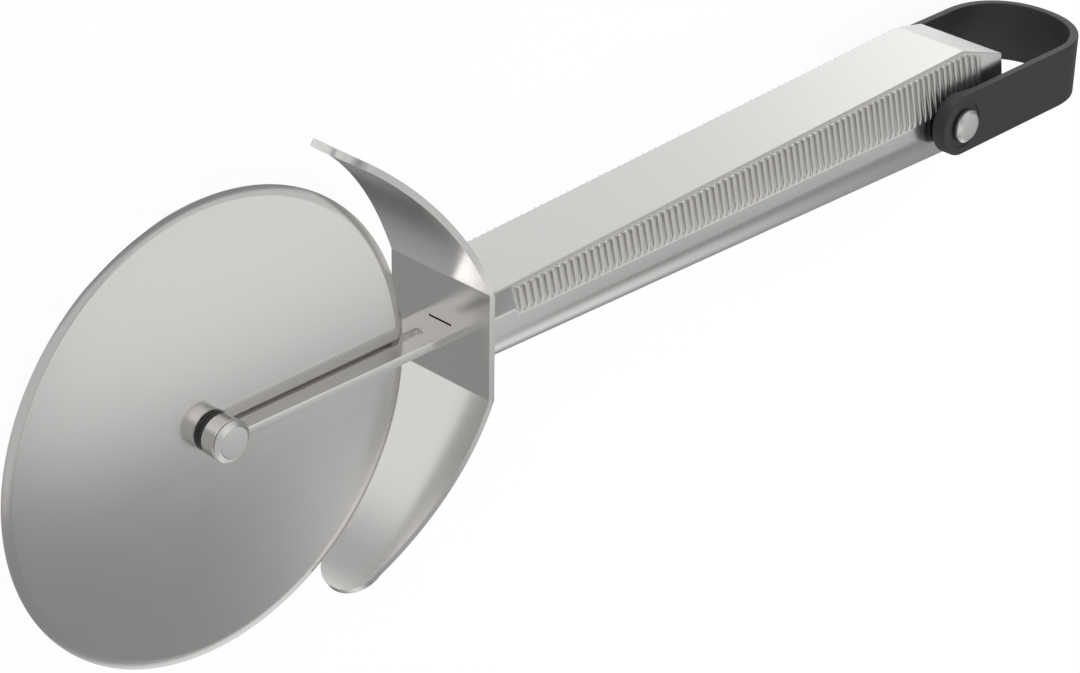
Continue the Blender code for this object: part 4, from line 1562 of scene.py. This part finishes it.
@dataclass
class Studio:
    """Floor, lamps, surroundings and camera."""

    places: Places
    camera_place: Vector = Vector((-316.6, 301.5, 391.0)) * MM
    camera_right: Vector = Vector((0.6988, 0.0149, 0.7151))
    camera_forward: Vector = Vector((0.6291, -0.4885, -0.6047))
    lens: float = 101.2
    floor_half: float = 6.0
    room_light: float = 0.30
    wall_light: float = 0.30
    side_light: float = 0.70
    ground_light: float = 0.64
    ground_dip: float = 0.50
    far_ground_light: float = 0.55
    bright_panel_light: float = 2.8
    left_panel_light: float = 0.14
    dark_panel_light: float = 0.17
    low_panel_light: float = 0.65
    lamp_height_mm: float = 250.0
    floor_drop: float = 0.2 * MM
    floor_grain: float = 40.0
    floor_white: Point2 = (0.88, 0.92)
    floor_glow: float = 1.09
    floor_glow_share: float = 0.83

    def camera(self) -> None:
        """The photograph's view of the cutter."""
        data = bpy.data.cameras.new("camera")
        data.lens = self.lens
        data.sensor_width = 36.0
        data.sensor_fit = "HORIZONTAL"
        data.clip_start = 0.01
        holder = bpy.data.objects.new("camera", data)
        back = -self.camera_forward.normalized()
        right = (self.camera_right - back * self.camera_right.dot(back)).normalized()
        up = back.cross(right)
        turn = Matrix((right, up, back)).transposed().to_4x4()
        holder.matrix_world = Matrix.Translation(self.places.axle + self.camera_place) @ turn
        bpy.context.scene.collection.objects.link(holder)
        bpy.context.scene.camera = holder

    def surroundings(self) -> None:
        """Dim walls, a lighter wall behind the camera and a white ground, and plain white to the camera."""
        world = bpy.data.worlds.new("studio")
        bpy.context.scene.world = world
        world.use_nodes = True
        tree = world.node_tree
        tree.nodes.clear()
        graph = Graph(tree)
        way = graph.add("ShaderNodeTexCoord").outputs["Generated"]
        parts = graph.add("ShaderNodeSeparateXYZ", {0: way}).outputs

        below, above = ("Z", 0.02, -0.25), ("Z", -0.05, 0.20)
        under = ("Y", -0.50, -0.62)
        bright = (("Y", 0.62, 0.72), ("Y", 0.90, 0.80), ("X", -0.26, -0.14), ("X", 0.35, 0.25))
        level: Any = self.room_light
        # Each patch of light has its strength and then its soft steps, as axis, start and end.
        for strength, *fades in (
            (self.ground_light, below, ("Y", -0.44, -0.16)),
            (-self.ground_dip, below, ("Y", 0.50, 0.68)),
            (self.far_ground_light, below, ("X", 0.66, 0.71), ("Y", 0.20, 0.36)),
            (self.bright_panel_light, below, *bright),
            (self.left_panel_light, below, under, ("X", 0.08, -0.12)),
            (-self.dark_panel_light, below, under, ("X", 0.03, 0.22), ("X", 0.47, 0.32)),
            (self.low_panel_light, ("Z", -0.32, 0.08), ("Z", 0.55, 0.28), under, ("X", 0.71, 0.64)),
            (self.wall_light, above, ("X", 0.0, -0.6)),
            (self.side_light, above, ("Y", 0.30, 0.7)),
        ):
            patch: Any = strength
            for axis, start, end in fades:
                share = graph.spread(parts[axis], (0.0, 1.0), (start, end), "SMOOTHSTEP")
                patch = graph.math("MULTIPLY", share, patch)
            level = graph.math("ADD", patch, level)
        light = graph.add("ShaderNodeBackground", {"Color": (1, 1, 1, 1), "Strength": level})
        seen = graph.add("ShaderNodeBackground", {"Color": (1, 1, 1, 1), "Strength": 1.0})
        path = graph.add("ShaderNodeLightPath").outputs["Is Camera Ray"]
        both = graph.add("ShaderNodeMixShader", {0: path, 1: light.outputs[0], 2: seen.outputs[0]})
        graph.add("ShaderNodeOutputWorld", {0: both.outputs[0]})

    def floor(self) -> None:
        """A plain white floor that shows a faint shadow."""
        bm = bmesh.new()
        bmesh.ops.create_grid(bm, x_segments=1, y_segments=1, size=self.floor_half)
        floor = new_piece("floor", bm, Vector((0, 0, -self.floor_drop)))
        floor.visible_glossy = False
        floor.visible_diffuse = False
        floor.visible_shadow = False
        made, graph = new_material("floor white")
        graph.tree.nodes.clear()
        place = graph.add("ShaderNodeTexCoord").outputs["Object"]
        white = graph.spread(graph.noise(place, 2.0, self.floor_grain), self.floor_white)
        matt = graph.add("ShaderNodeBsdfDiffuse", {"Color": white})
        glow = graph.add("ShaderNodeEmission", {"Color": (1, 1, 1, 1), "Strength": self.floor_glow})
        path = graph.add("ShaderNodeLightPath").outputs["Is Camera Ray"]
        share = graph.times(path, self.floor_glow_share)
        both = graph.add("ShaderNodeMixShader", {0: share, 1: matt.outputs[0], 2: glow.outputs[0]})
        graph.add("ShaderNodeOutputMaterial", {0: both.outputs[0]})
        floor.data.materials.append(made)

    def lamps(self) -> None:
        """Soft boxes over the cutter."""
        axle = self.places.axle
        for name, low, high, radiance in (
            ("long soft box", (118, -181), (330, -85), 0.69),
            ("far soft box", (332, -175), (560, -85), 0.72),
            ("small soft box", (240, -320), (350, -218), 0.47),
            ("low soft box", (160, -380), (262, -328), 0.32),
            ("front soft box", (-190, 120), (85, 215), 0.22),
            ("rib soft box", (95, -75), (560, 24), 0.42),
            ("left soft box", (-90, -140), (85, 40), 0.34),
        ):
            across, along = (low[0] + high[0]) / 2, (low[1] + high[1]) / 2
            middle = Vector((across, along, self.lamp_height_mm)) * MM + axle
            size = ((high[0] - low[0]) * MM, (high[1] - low[1]) * MM)
            SoftBox(name, tuple(middle), (middle.x, middle.y, 0.0), size, radiance).build()

    def build(self) -> None:
        """Build the whole studio."""
        self.camera()
        self.surroundings()
        self.floor()
        self.lamps()
        bpy.context.scene.view_settings.view_transform = "Standard"
        LOG.info("studio ready")


def dress_inner_nodes(frame: dict[str, Any], finishes: Finishes) -> None:
    """Give the CAD nodes that stay inside the handle their finish.

    Args:
        frame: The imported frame.
        finishes: Every material of the cutter.
    """
    for name in ("tang_block", "tang_pin", "pin_sleeve"):
        node = frame["nodes"][name]
        node.data.materials.clear()
        node.data.materials.append(finishes.hidden)
        LOG.info("%s keeps its CAD shape", name)


def main() -> None:
    """Build the studio and every piece of the cutter."""
    logging.basicConfig(level=logging.INFO, format="%(message)s")
    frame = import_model()
    places = Places.of(frame)
    Studio(places).build()
    finishes = Finishes(places)
    for kind in (WheelSet, ForkSet, FingerGuard, Handle, HangingLoop):
        kind(places).build(finishes)
    dress_inner_nodes(frame, finishes)


if __name__ == "__main__":
    main()
